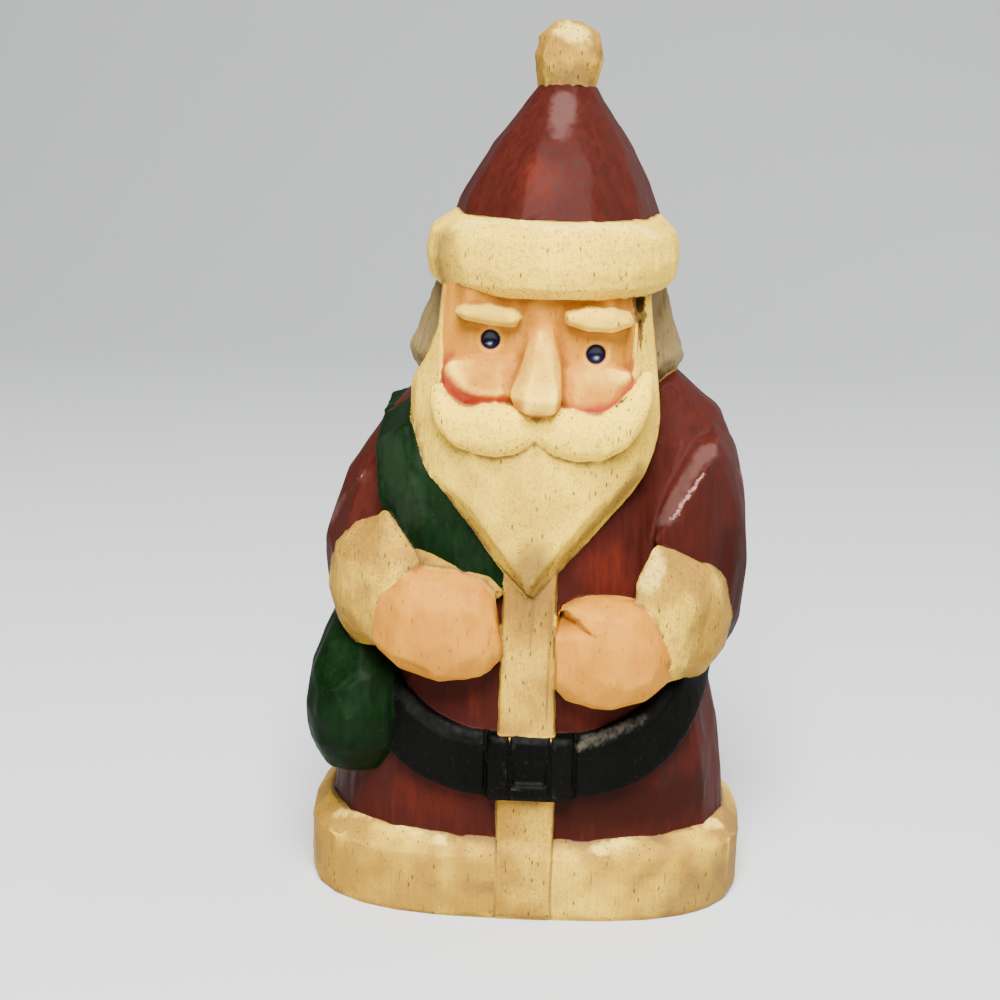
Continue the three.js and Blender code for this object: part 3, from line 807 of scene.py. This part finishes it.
facets = [  # lumps, then size, depth, tilt and length of their flats; the row's number is the seed
    (["coat"], 6, 0.16, 0.025, 1.6),
    (["hatCone"], 5, 0.14, 0.025, 1.6),
    (["sack"], 8, 0.2, 0.02, 1.3),
    (["cuffs"], 4.6, 0.24, 0.035, 1),
    (["bobble"], 3.4, 0.4, 0.08, 1),
    (["mittens"], 6, 0.24, 0.02, 1),
    (["hem", "brim"], 6, 0.07, 0.012, 0.6),
    (["face", "beard", "placket", "belt", "moustache"], 3, 0.05, 0.01, 2),
    (["hair"], 3, 0.25, 0.1, 2),
]
unevenness = [  # lumps, then depth, scale, stretch, seed and whether it lies in grooves
    (["hair"], 0.22, 1.6, (1, 1, 0.22), 3, True),
    (["cuffs", "bobble"], 0.07, 0.8, (1, 1, 0.6), 5, False),
    (["beard"], 0.1, 1, (1, 1, 0.1), 9, False),
]
scored = [  # incised lines: lumps, width, depth, and points as x, z and how full the cut is there
    (["beard", "placket"], 0.9, 0.7, [(-6.2, 63.6, 0.4), (0.3, 57.2, 1), (3.9, 61.8, 0.4)]),
    (["placket"], 0.7, 0.5, [(0.3, 57, 1), (0.1, 50, 0.8), (-0.1, 43.4, 0)]),
    (["placket"], 0.6, 0.4, [(3.3, 57, 0.8), (3.1, 40, 1), (3.2, 34, 0.6)]),
    (["hem", "placket"], 0.7, 0.5, [(-4.9, 14, 0.8), (-4.8, 7, 0.5), (-4.9, 0, 0.8)]),
    (["hem", "placket"], 0.7, 0.5, [(4.8, 14, 0.8), (4.6, 6, 0.9), (4.8, 0, 0.6)]),
    *((["belt"], 0.9, 0.7, [(x, 22.8, 1), (x, 33.6, 0.7)]) for x in (-2.9, 3.9)),
    *((["belt"], 1, 0.8, [(x, 22.4, 1), (x, 34, 1)]) for x in (-6.9, 8)),
    (["mittens"], 5.6, 4.6, [(3.6, 54.6, 1), (7.2, 54.5, 0.55), (11, 53.1, 0)]),
    (["face", "beard"], 0.9, 1, [(16, 103, 1), (16, 101, 0.8), (15.8, 98, 0.3)]),
]

knife = Knife(body)
print("Surface sorted by lump")
for seed, cells in enumerate(facets, 1):
    knife.facets(seed, *cells)
print("Facets cut")
for line in scored:
    knife.score(*line)
for middle in face["eyes"]:
    knife.dimple(middle, face["eyeWidth"], face["eyeDepth"])
for places in unevenness:
    knife.uneven(*places)
knife.finish(body)
print("Knife work done")


def sawFlat(thing):  # saws the foot off flat at the floor
    bm = bmesh.new()
    bm.from_mesh(thing.data)
    pared(bm, (0, 0, 0), (0, 0, -1))
    bm.to_mesh(thing.data)
    bm.free()


decimate = body.modifiers.new("Decimate", "DECIMATE")
decimate.ratio = work["triangles"] / (2 * len(body.data.polygons))
applyModifiers(body)
sawFlat(body)
print("Body", len(body.data.vertices), "points after thinning")

# Paint masks: how much nearer a spot is to one paint's lumps than to those painted before it
paintOrder = ["red", "green", "black", "skin", "cream"]
strays = [  # cream that ran past its edge: from where to where, and how far
    ((-21.6, -26.5, 46.6), (-18.4, -27.5, 44.2), 1.2), ((-18.4, -27.4, 45), (-16, -28, 44.4), 0.8),
    ((-5.4, -28, 36.2), (-5.2, -28, 36), 1.2), ((-19, -26.6, 64), (-13, -27, 61.8), 1.3),
    ((-13, -27, 61.8), (-7.6, -27.6, 60.2), 1.1), ((-7.6, -27.6, 60), (-5, -27.6, 57.6), 1.3),
    ((4.8, -28, 57.4), (6.4, -28.4, 57.2), 1), ((14, -27.4, 60), (18, -27.6, 62), 0.8),
]
patches = {  # strokes that each mask follows, from where to where and how far
    "warm": [  # the red, back to a lighter coat
        ((12, -23, 63), (13, -22, 58), 7), ((-1, -27, 124), (-0.6, -24, 127), 8),
        ((-24, -27, 20), (-16, -27, 20), 7), ((8, -27, 39), (10, -27, 38), 5),
        ((-9, -27, 42), (-7, -27, 38), 4), ((14, -27, 23), (16, -27, 22), 3),
    ],
    "paintedSheen": [  # painted sheen on the red and the green, where their facets catch the light
        ((22, -20.6, 70), (28.4, -16, 81), 2.4), ((34, -9, 76), (36, -8, 60), 1.3),
        ((-34, -10, 66), (-28, -13.4, 73.6), 2.4), ((2.6, -12, 137), (2.4, -15, 131), 3),
        ((-24, -19, 80), (-19.6, -23.6, 71), 4.5),
    ],
    "dashed": [  # the red, worn through along the fold
        ((22.6, -22.3, 70.8), (27.6, -19.8, 78), 0.7), ((-34, -10, 68), (-29.4, -14.4, 74.2), 0.6),
    ],
    "paintedShade": [  # painted shade on the cream and the red, where their lower and side parts turn from the light
        ((9, -27, 20), (32, -18, 21), 7), ((33, -14, 64), (35, -8, 50), 7),
        ((0, -29, 57), (0, -30, 63), 6), ((17, -25, 79), (5, -27, 62), 2.6),
        ((-17, -22, 108), (-18, -22, 116), 6.5), ((28, -22, 2), (37, -10, 9), 9),
        ((20.4, -27.4, 45), (17.4, -27, 59), 1.5), ((-20.6, -27.6, 47), (-20, -27.4, 62), 1.3),
        ((2, -9, 141), (5, -9, 141), 3),
    ],
    "scuffsAndHighlight": [  # the belt, scuffed along its upper edge, with a painted highlight there
        ((9, -28.6, 33.2), (21, -26.4, 38.4), 2.1), ((-9, -28.6, 34), (-17, -27.4, 37.6), 1.4),
        ((-5, -30, 33.6), (4, -30, 33.6), 0.9),
    ],
    "rubbedAndHighlight": [  # the cream, rubbed pale on its foremost edges, with a painted highlight on those that face the light
        ((-16, -20, 118.6), (3, -27.4, 118), 2.2), ((3, -27.4, 118), (21, -20, 117.4), 2.6),
        ((-33, -16, 13.6), (-12, -26, 13.2), 1.8), ((12, -26, 13.2), (34, -14, 13.6), 1.8),
        ((20, -28, 66), (19, -28.6, 61), 2.8), ((2, -9, 149), (5, -9, 148), 3.4),
    ],
}
relief = {"fine": 5, "broad": 60}  # rounds of smoothing that each relief is measured against
evened = {"label": 3, "relief": 2}  # rounds that soften the lumps' labels and the measured relief


def setAttribute(thing, name, values):
    attribute = thing.data.attributes.new(name, "FLOAT", "POINT")
    attribute.data.foreach_set("value", values.astype(np.float32))


def smoothed(values, edges, rounds):  # values averaged with their neighbours along the edges
    count = len(values)
    first, second = edges.T
    degree = np.bincount(edges.ravel(), minlength=count).clip(1)
    for _ in range(rounds):
        sums = [
            np.bincount(first, column[second], count) + np.bincount(second, column[first], count)
            for column in values.T
        ]
        values = (values + np.stack(sums, 1) / degree[:, None]) / 2
    return values


def strokeDistance(points, start, end):
    start, line = np.array(start) + (work["midline"], 0, 0), np.subtract(end, start)
    way = np.clip((points - start) @ line / max(line @ line, 1e-6), 0, 1)
    return np.linalg.norm(points - start - way[:, None] * line, axis=1)


def markPaint(thing):
    points = read(thing.data.vertices, "co")
    reach = []
    for paint in paintOrder:
        tree = makeTree([each["thing"] for each in lumps if each["paint"] == paint])[0]
        reach.append([tree.find_nearest(point)[3] for point in points])
    reach = np.array(reach)
    for k, paint in enumerate(paintOrder[1:], 1):
        mask = reach[:k].min(axis=0) - reach[k]
        if paint == "cream":
            for start, end, size in strays:
                mask = np.maximum(mask, size - strokeDistance(points, start, end))
        setAttribute(thing, paint + "Paint", mask)
    for name, strokes in patches.items():
        levels = [1 - strokeDistance(points, start, end) / size for start, end, size in strokes]
        setAttribute(thing, name, np.maximum.reduce(levels))


def markWood(thing):
    points, normals = read(thing.data.vertices, "co"), read(thing.data.vertex_normals, "vector")
    edges = np.empty(2 * len(thing.data.edges), dtype=np.int32)
    thing.data.edges.foreach_get("vertices", edges)
    edges = edges.reshape(-1, 2)
    owners = ownersOf(points)
    for label in ("tone", "rough"):
        values = np.array([each[label] for each in lumps])[owners]
        setAttribute(thing, label, smoothed(values[:, None], edges, evened["label"])[:, 0])
    for label, rounds in relief.items():  # above 0 in hollows, below 0 on ridges
        sunk = ((smoothed(points, edges, rounds) - points) * normals).sum(axis=1)
        setAttribute(thing, label + "Relief", smoothed(sunk[:, None], edges, evened["relief"])[:, 0])
    return points, normals, owners


def markFace(thing, points, normals, owners):
    ahead = owned(owners, ["face"]) & (points[:, 1] < face["blushFront"])
    blush = [alongPath(points, face["blushWidth"], path) * ahead for path in face["blush"]]
    below = ~owned(owners, ["brim"]) & (points[:, 1] < face["shadowFront"])
    paintedShadow = [alongPath(points, width, path) * below for width, path in face["paintedShadow"]]
    facing = normals[:, 1] < work["facing"]
    incised = [
        alongPath(points, width, path) * facing * owned(owners, names)
        for names, width, _, path in scored
    ]
    for label, levels in (("blush", blush), ("paintedShadow", paintedShadow), ("incised", incised)):
        setAttribute(thing, label, np.maximum.reduce(levels))
    spots = points[:, [0, 2]] - (work["midline"], 0)
    reach = [np.linalg.norm(spots - middle, axis=1) for middle in face["eyes"]]
    farOff = 9
    setAttribute(thing, "eye", np.where(ahead, np.minimum(*reach) / (face["eyeWidth"] / 2), farOff))


markPaint(body)
markFace(body, *markWood(body))
print("Paint marked out")

for each in lumps:
    discard(each["thing"])
body.data.transform(Matrix.Scale(mm, 4))
body.data.shade_smooth()
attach(body, "root")
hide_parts(nodeName)


# Node writing
class Sheet:
    def __init__(self, tree):
        self.tree = tree

    def put(self, socket, value):
        if isinstance(value, bpy.types.NodeSocket):
            self.tree.links.new(value, socket)
        else:
            socket.default_value = value

    def add(self, kind, values=(), **settings):
        node = self.tree.nodes.new("ShaderNode" + kind)
        for name, value in settings.items():
            setattr(node, name, value)
        for socket, value in dict(values).items():
            self.put(node.inputs[socket], value)
        return node

    def math(self, operation, *values):
        return self.add("Math", enumerate(values), operation=operation).outputs[0]

    def times(self, *values):
        return self.math("MULTIPLY", *values)

    def ramp(self, value, low, high):
        values = {"Value": value, "From Min": low, "From Max": high}
        return self.add("MapRange", values, interpolation_type="SMOOTHSTEP").outputs["Result"]

    def stretch(self, spot, x, y, z):
        scale = self.add("CombineXYZ", {0: x, 1: y, 2: z}).outputs[0]
        return self.add("VectorMath", {0: spot, 1: scale}, operation="MULTIPLY").outputs[0]

    def cloud(self, spot, size, detail=3, rough=0.55, distortion=0):
        values = {"Vector": spot, "Scale": size, "Detail": detail, "Roughness": rough}
        values["Distortion"] = distortion
        return self.add("TexNoise", values).outputs["Fac"]

    def mix(self, factor, under, over):
        node = self.add("Mix", {0: factor}, data_type="RGBA")
        for socket, value in ((node.inputs[6], under), (node.inputs[7], over)):
            self.put(socket, value if isinstance(value, bpy.types.NodeSocket) else (*value, 1))
        return node.outputs[2]

    def use(self, group, **values):
        node = self.add("Group", node_tree=group)
        for name, value in values.items():
            self.put(node.inputs[name], value)
        return node.outputs[0]

    def attribute(self, name):
        return self.add("Attribute", attribute_name=name).outputs["Fac"]


def makeGroup(name, build, **defaults):  # a group with a place and values in and one value out
    tree = bpy.data.node_groups.new(name, "ShaderNodeTree")
    tree.interface.new_socket("Spot", in_out="INPUT", socket_type="NodeSocketVector")
    for label, default in defaults.items():
        socket = tree.interface.new_socket(label, in_out="INPUT", socket_type="NodeSocketFloat")
        socket.default_value = default
    tree.interface.new_socket("Value", in_out="OUTPUT", socket_type="NodeSocketFloat")
    source, target = tree.nodes.new("NodeGroupInput"), tree.nodes.new("NodeGroupOutput")
    sheet = Sheet(tree)
    tree.links.new(build(sheet, source.outputs), target.inputs["Value"])
    return tree


def buildBrush(sheet, inputs):  # long soft strokes, crossing a little
    across, along = (sheet.math("DIVIDE", 1, inputs[label]) for label in ("Width", "Length"))
    spot = sheet.stretch(inputs["Spot"], across, across, along)
    strokes = sheet.cloud(spot, 1, detail=2, rough=0.6, distortion=0.5)
    return sheet.ramp(strokes, inputs["Low"], inputs["High"])


def buildPores(sheet, inputs):  # short open pores along the grain, in some places only
    across = sheet.math("DIVIDE", 1, inputs["Size"])
    along = sheet.math("DIVIDE", across, inputs["Long"])
    spot = sheet.stretch(inputs["Spot"], across, across, along)
    cells = sheet.add("TexVoronoi", {"Vector": spot, "Scale": 1, "Randomness": 1})
    chance = sheet.add("SeparateColor", {"Color": cells.outputs["Color"]}).outputs["Red"]
    crowded = sheet.times(sheet.cloud(inputs["Spot"], inputs["Patches"], detail=2), 2)
    pored = sheet.math("LESS_THAN", chance, sheet.times(inputs["Share"], crowded))
    hole = sheet.math("SUBTRACT", 1, sheet.ramp(cells.outputs["Distance"], inputs["Core"], inputs["Rim"]))
    return sheet.times(pored, hole)


def buildEdge(sheet, inputs):  # a painted edge drawn by an unsteady hand
    wobble = sheet.math("SUBTRACT", sheet.cloud(inputs["Spot"], inputs["Waves"], rough=0.6), 0.5)
    moved = sheet.math("MULTIPLY_ADD", wobble, inputs["Wobble"], inputs["Distance"])
    half = sheet.times(inputs["Soft"], 0.5)
    return sheet.ramp(moved, sheet.times(half, -1), half)


def buildBroken(sheet, inputs):  # a mask broken up into specks by noise
    size = sheet.math("DIVIDE", 1, inputs["Size"])
    speck = sheet.math("SUBTRACT", sheet.cloud(inputs["Spot"], size, rough=0.65), 0.5)
    moved = sheet.math("MULTIPLY_ADD", speck, inputs["Break"], inputs["Level"])
    return sheet.ramp(moved, inputs["Low"], inputs["High"])


brush = makeGroup("Brush strokes", buildBrush, Width=1.2, Length=9, Low=0.3, High=0.7)
pores = makeGroup("Wood pores", buildPores, Size=1.2, Long=2.5, Share=0.3, Patches=0.12, Core=0.08, Rim=0.24)
edge = makeGroup("Painted edge", buildEdge, Distance=0, Wobble=0.6, Soft=0.16, Waves=0.35)
broken = makeGroup("Broken mask", buildBroken, Level=0, Break=0.3, Size=2, Low=0.1, High=0.3)

colours = {  # linear colours of each paint and of what shows in, on and through it
    "red": (0.047, 0.0078, 0.0048),
    "redDark": (0.034, 0.006, 0.004),
    "redLight": (0.105, 0.0135, 0.0058),
    # painted shade, on the red's lower and side parts
    "redShade": (0.019, 0.0036, 0.002),
    # a painted sheen, on the red's facets that catch the light
    "redSheen": (0.095, 0.042, 0.036),
    "redRubbed": (0.30, 0.18, 0.15),
    "green": (0.0011, 0.0098, 0.001),
    "greenDark": (0.0006, 0.0046, 0.0006),
    "greenLight": (0.0036, 0.0135, 0.0032),
    # worn green on its ridges, and a painted sheen on its lit facets
    "greenWornAndSheen": (0.05, 0.075, 0.045),
    "black": (0.0005, 0.0007, 0.0004),
    "blackLight": (0.0012, 0.0013, 0.001),
    # worn black on scuffed edges, and a painted highlight along the belt's upper edge
    "blackRubbedAndHighlight": (0.065, 0.056, 0.039),
    "skin": (0.42, 0.155, 0.008),
    "skinLight": (0.52, 0.205, 0.012),
    # glaze in the skin's hollows and cuts, with painted shade there
    "skinGlazeAndShade": (0.22, 0.075, 0.006),
    "cheek": (0.98, 0.63, 0.065),
    "blush": (0.30, 0.038, 0.016),
    "cream": (0.40, 0.218, 0.015),
    "creamLight": (0.94, 0.61, 0.032),
    # glaze in the cream's hollows, creases and scratches, with painted shade there and on its darker lower
    # and side parts
    "creamGlazeAndShade": (0.17, 0.092, 0.026),
    "creamDeep": (0.22, 0.095, 0.013),
    "creamGrey": (0.195, 0.14, 0.058),
    # cream rubbed pale, with a painted highlight on top edges that face the light
    "creamRubbedAndHighlight": (0.95, 0.70, 0.13),
    # open pores, and painted shadow in the gaps at the temple and the cheek's corner
    "poreAndShadow": (0.035, 0.017, 0.007),
    "eye": (0.0012, 0.0025, 0.024),
    "eyeRim": (0.80, 0.42, 0.04),
}
layers = {  # each paint's ground, then what lies over it: mask, strength and colour
    "red": (
        "redDark",
        ("strokes", 1, "red"), ("warm", 1, "redLight"), ("paintedSheen", 0.75, "redSheen"),
        # painted shade: the red darker in its hollows and where it turns from the light
        ("hollow", 0.6, "redDark"), ("paintedShade", 0.75, "redShade"), ("worn", 0.12, "redRubbed"),
        ("dashed", 0.8, "redRubbed"),
    ),
    "green": (
        "greenDark",
        ("strokes", 1, "green"), ("cloudy", 1, "greenLight"), ("worn", 0.12, "greenWornAndSheen"),
        ("paintedSheen", 0.12, "greenWornAndSheen"),
    ),
    "black": ("black", ("wide", 1, "blackLight"), ("scuffsAndHighlight", 0.8, "blackRubbedAndHighlight")),
    "skin": (
        "skin",
        ("wide", 1, "skinLight"), ("raised", 1, "cheek"), ("hollow", 0.8, "skinGlazeAndShade"),
        ("sunk", 1, "skinGlazeAndShade"), ("blush", 1, "blush"),
    ),
    "cream": (
        "cream",
        ("clouds", 1, "creamLight"), ("grain", 0.25, "creamGrey"), ("tone", 1, "creamLight"),
        ("deep", 1, "creamDeep"), ("grey", 1, "creamGrey"), ("hollow", 0.85, "creamGlazeAndShade"),
        ("crease", 0.8, "creamGlazeAndShade"), ("paintedShade", 0.75, "creamGlazeAndShade"), ("pale", 0.6, "creamLight"),
        ("rubbedAndHighlight", 0.65, "creamRubbedAndHighlight"),
    ),
}
finishes = (  # what lies over every paint
    ("pored", 0.85, "poreAndShadow"), ("streaked", 0.5, "poreAndShadow"), ("pitted", 0.55, "poreAndShadow"),
    ("scratch", 0.6, "creamGlazeAndShade"), ("paintedShadow", 0.9, "poreAndShadow"), ("eyeRim", 0.35, "eyeRim"),
    ("pupil", 1, "eye"),
)
brokenMasks = {  # masks broken up into specks, wear and painted shade, shadow, sheen and highlight alike: how much, the width of the specks, and where it starts and fills
    "hollow": (0.5, 3, 0.12, 0.75),
    "crease": (0.06, 1, 0.015, 0.09),
    "worn": (0.16, 0.9, 0.06, 0.16),
    "edged": (0.2, 1.2, 0.1, 0.24),
    "pale": (0.1, 1, 0.05, 0.2),
    "raised": (0.5, 4, 0.1, 0.8),
    "warm": (1.1, 5, 0.1, 0.8),
    "paintedSheen": (0.8, 2, 0.05, 0.55),
    "dashed": (2.4, 0.8, 0.3, 0.9),
    "paintedShade": (0.7, 4, 0, 0.7),
    "scuffsAndHighlight": (1.3, 1.4, 0.15, 0.7),
    "rubbedAndHighlight": (1.4, 2.2, 0.1, 0.8),
    "blush": (0.5, 2, 0.1, 0.8),
    "paintedShadow": (1.2, 0.7, 0.1, 0.5),
}
brushes = {"strokes": (1.2, 9), "wide": (5, 14), "grain": (0.35, 9)}  # width and length of brush marks
openPores = {  # width, length for that width, what rough wood adds to their share, and the share
    "pored": (0.9, 3.2, 0.4, 0.25),
    "pitted": (0.55, 1.5, 0.6, 0.15),
    "streaked": (0.7, 10, 0.4, 0),
}
fades = {  # where each plain mask starts and where it fills
    "clouds": (0.4, 0.7),
    "incised": (0.1, 0.7),
    "grey": (0.6, 0.9),
    "scratch": (0.005, 0.03),
    "rimOutside": (1.5, 1.1),
    "rimInside": (1.02, 0.92),
    "pupil": (1, 0.86),
}
shares = {
    "clouds": 0.09,  # scale of the clouds of lighter paint
    "creased": 0.6,  # how much of a crease the skin's glaze takes
    "warmth": (0.3, 0.3),  # what the brush marks add to the warm places, and what is there anyway
    "edgeWear": 0.5,  # how far the belt's edges are scuffed all round
    "skinWear": 0.5,  # how open the wood is under the skin
    "scratches": 0.8,  # scale of the scratches
}
sheen = {
    "satin": (0.12, 0.5),  # what the brush marks add to the roughness, and the roughness
    "dull": (0.1, 0.52),
    "pupil": 0.12,
    "pupilCoat": 0.6,
    "coatRoughness": 0.3,
    "specular": 0.05,
}
grainRelief = {"strokes": 0.25, "strength": 0.5, "depth": 0.12}


# Paint
def makeMasks(sheet, spot):
    masks = {"tone": sheet.attribute("tone"), "rough": sheet.attribute("rough")}
    for name, (width, length) in brushes.items():
        masks[name] = sheet.use(brush, Spot=spot, Width=width, Length=length)
    fine, broad = sheet.attribute("fineRelief"), sheet.attribute("broadRelief")
    ridge = sheet.times(fine, -1)
    # hollow and crease lay glaze and painted shade in hollows and creases; ridges show wear
    levels = {"hollow": broad, "crease": fine, "worn": ridge, "edged": ridge, "pale": ridge}
    levels["raised"] = sheet.times(broad, -1)
    for name, numbers in brokenMasks.items():
        level = levels[name] if name in levels else sheet.attribute(name)
        values = dict(zip(("Break", "Size", "Low", "High"), numbers))
        masks[name] = sheet.use(broken, Spot=spot, Level=level, **values)

    masks["incised"] = sheet.ramp(sheet.attribute("incised"), *fades["incised"])
    masks["crease"] = sheet.math("MAXIMUM", masks["crease"], masks["incised"])
    creased = sheet.times(masks["crease"], shares["creased"])
    masks["sunk"] = sheet.math("MAXIMUM", masks["incised"], creased)
    warmth = sheet.math("MULTIPLY_ADD", masks["strokes"], *shares["warmth"])
    masks["warm"] = sheet.times(masks["warm"], warmth)
    masks["clouds"] = sheet.ramp(sheet.cloud(spot, shares["clouds"], detail=2), *fades["clouds"])
    masks["cloudy"] = sheet.times(masks["clouds"], masks["wide"])
    edged = sheet.times(masks["edged"], shares["edgeWear"])
    masks["scuffsAndHighlight"] = sheet.math("MAXIMUM", masks["scuffsAndHighlight"], edged)
    masks["raised"] = sheet.times(masks["raised"], masks["tone"])
    masks["deep"] = sheet.times(masks["tone"], -1)
    masks["grey"] = sheet.ramp(masks["deep"], *fades["grey"])

    eye = sheet.attribute("eye")
    outside, inside = (sheet.ramp(eye, *fades[name]) for name in ("rimOutside", "rimInside"))
    masks["eyeRim"] = sheet.math("SUBTRACT", outside, inside)
    masks["pupil"] = sheet.ramp(eye, *fades["pupil"])
    return masks


def makeWear(sheet, spot, masks):  # open pores and scratches, where cream or skin covers the wood
    wood = sheet.math("MAXIMUM", masks["cream"], sheet.times(masks["skin"], shares["skinWear"]))
    for name, (size, long, *share) in openPores.items():
        share = sheet.math("MULTIPLY_ADD", masks["rough"], *share)
        masks[name] = sheet.times(sheet.use(pores, Spot=spot, Size=size, Long=long, Share=share), wood)
    line = sheet.cloud(spot, shares["scratches"], detail=2, rough=0.6, distortion=1)
    line = sheet.math("ABSOLUTE", sheet.math("SUBTRACT", line, 0.5))
    line = sheet.math("SUBTRACT", 1, sheet.ramp(line, *fades["scratch"]))
    masks["scratch"] = sheet.times(sheet.times(line, masks["rough"]), masks["cream"])


def layered(sheet, masks, colour, *over):
    for name, strength, shade in over:
        colour = sheet.mix(sheet.times(masks[name], strength), colour, colours[shade])
    return colour


def makePaint():
    material, shader = newMaterial("paintedWood")
    sheet = Sheet(material.node_tree)
    place = sheet.add("TexCoord").outputs["Object"]
    spot = sheet.stretch(place, 1 / mm, 1 / mm, 1 / mm)
    masks = makeMasks(sheet, spot)
    colour = None
    for paint in paintOrder:
        ground, *over = layers[paint]
        own = layered(sheet, masks, colours[ground], *over)
        if colour is not None:
            masks[paint] = sheet.use(edge, Spot=spot, Distance=sheet.attribute(paint + "Paint"))
            own = sheet.mix(masks[paint], colour, own)
        colour = own
    makeWear(sheet, spot, masks)
    sheet.put(shader.inputs["Base Color"], layered(sheet, masks, colour, *finishes))

    # red, green and black are satin, skin and cream are duller, and only the eyes are glossy
    satin = sheet.math("MULTIPLY_ADD", masks["strokes"], *sheen["satin"])
    dull = sheet.math("MULTIPLY_ADD", masks["grain"], *sheen["dull"])
    share = sheet.math("MAXIMUM", masks["skin"], masks["cream"])
    surface = sheet.add("Mix", {0: share, 2: satin, 3: dull}).outputs[0]
    surface = sheet.add("Mix", {0: masks["pupil"], 2: surface, 3: sheen["pupil"]}).outputs[0]
    sheet.put(shader.inputs["Roughness"], surface)
    sheet.put(shader.inputs["Coat Weight"], sheet.times(masks["pupil"], sheen["pupilCoat"]))
    shader.inputs["Coat Roughness"].default_value = sheen["coatRoughness"]
    shader.inputs["Specular IOR Level"].default_value = sheen["specular"]

    height = sheet.times(masks["grain"], masks["rough"])
    height = sheet.math("MULTIPLY_ADD", masks["strokes"], grainRelief["strokes"], height)
    values = {"Height": height, "Strength": grainRelief["strength"], "Distance": grainRelief["depth"] * mm}
    sheet.put(shader.inputs["Normal"], sheet.add("Bump", values).outputs[0])
    return material


body.data.materials.clear()
body.data.materials.append(makePaint())

# Camera, where the photograph was taken from
camera = {
    "position": (5.915, -315.95, 146),
    "aim": (-6.2, 0, 67.4),
    "roll": math.radians(1.4),
    "lens": 66.24,
    "sensor": 36,
    "clip": (0.01, 20),
}


def makeCamera():
    data = bpy.data.cameras.new("camera")
    data.lens, data.sensor_width = camera["lens"], camera["sensor"]
    data.clip_start, data.clip_end = camera["clip"]
    thing = placed("camera", data)
    position, aim = Vector(camera["position"]) * mm, Vector(camera["aim"]) * mm
    ahead = (aim - position).normalized()
    level = ahead.cross(up).normalized()
    above = level.cross(ahead)
    roll = camera["roll"]
    right = level * math.cos(roll) + above * math.sin(roll)
    top = above * math.cos(roll) - level * math.sin(roll)
    thing.matrix_world = Matrix.Translation(position) @ Matrix((right, top, -ahead)).transposed().to_4x4()
    bpy.context.scene.camera = thing


# Backdrop and light
studio = {
    "size": 3,
    "depth": 0.55,  # from the figure to where the backdrop turns up
    "bend": 0.6,
    "turns": 16,
    "colour": (0.62, 0.63, 0.63),
    "roughness": 0.8,
    "world": (0.80, 0.83, 0.86),
    "strength": 0.12,
    "lights": [  # name, place, aim, size and power
        ("above", (0, -0.5, 0.7), (0, 0, 0.08), 0.4, 30),
        ("side", (0.75, 0.4, 0.36), (0, 0, 0.09), 0.6, 5),
    ],
}


def makeStage():
    size, depth, bend, turns = (studio[name] for name in ("size", "depth", "bend", "turns"))
    bm = bmesh.new()
    corners = [bm.verts.new((x, -size, 0)) for x in (-size, size)]
    edge = bm.edges.new(corners)
    path = [(depth, 0)]
    for i in range(1, turns + 1):
        turn = math.pi / 2 * i / turns
        path.append((depth + bend * math.sin(turn), bend - bend * math.cos(turn)))
    path.append((depth + bend, size))
    for y, z in path:
        grown = bmesh.ops.extrude_edge_only(bm, edges=[edge])["geom"]
        edge = only(bmesh.types.BMEdge, grown)[0]
        for corner in edge.verts:
            corner.co = (corner.co.x, y, z)
    bmesh.ops.recalc_face_normals(bm, faces=bm.faces)
    floor = toObject(bm, "floor")
    floor.data.shade_smooth()
    material, shader = newMaterial("paleFloor")
    shader.inputs["Base Color"].default_value = (*studio["colour"], 1)
    shader.inputs["Roughness"].default_value = studio["roughness"]
    floor.data.materials.append(material)


def makeLight(name, position, aim, size, power):
    data = bpy.data.lights.new(name, "AREA")
    data.size, data.energy = size, power
    thing = placed(name, data)
    thing.location = position
    thing.rotation_euler = (Vector(aim) - Vector(position)).to_track_quat("-Z", "Y").to_euler()


def makeWorld():
    world = bpy.data.worlds.new("studio")
    world.use_nodes = True
    background = world.node_tree.nodes["Background"]
    background.inputs["Color"].default_value = (*studio["world"], 1)
    background.inputs["Strength"].default_value = studio["strength"]
    bpy.context.scene.world = world


makeCamera()
makeStage()
makeWorld()
for light in studio["lights"]:
    makeLight(*light)
print("Stage set")
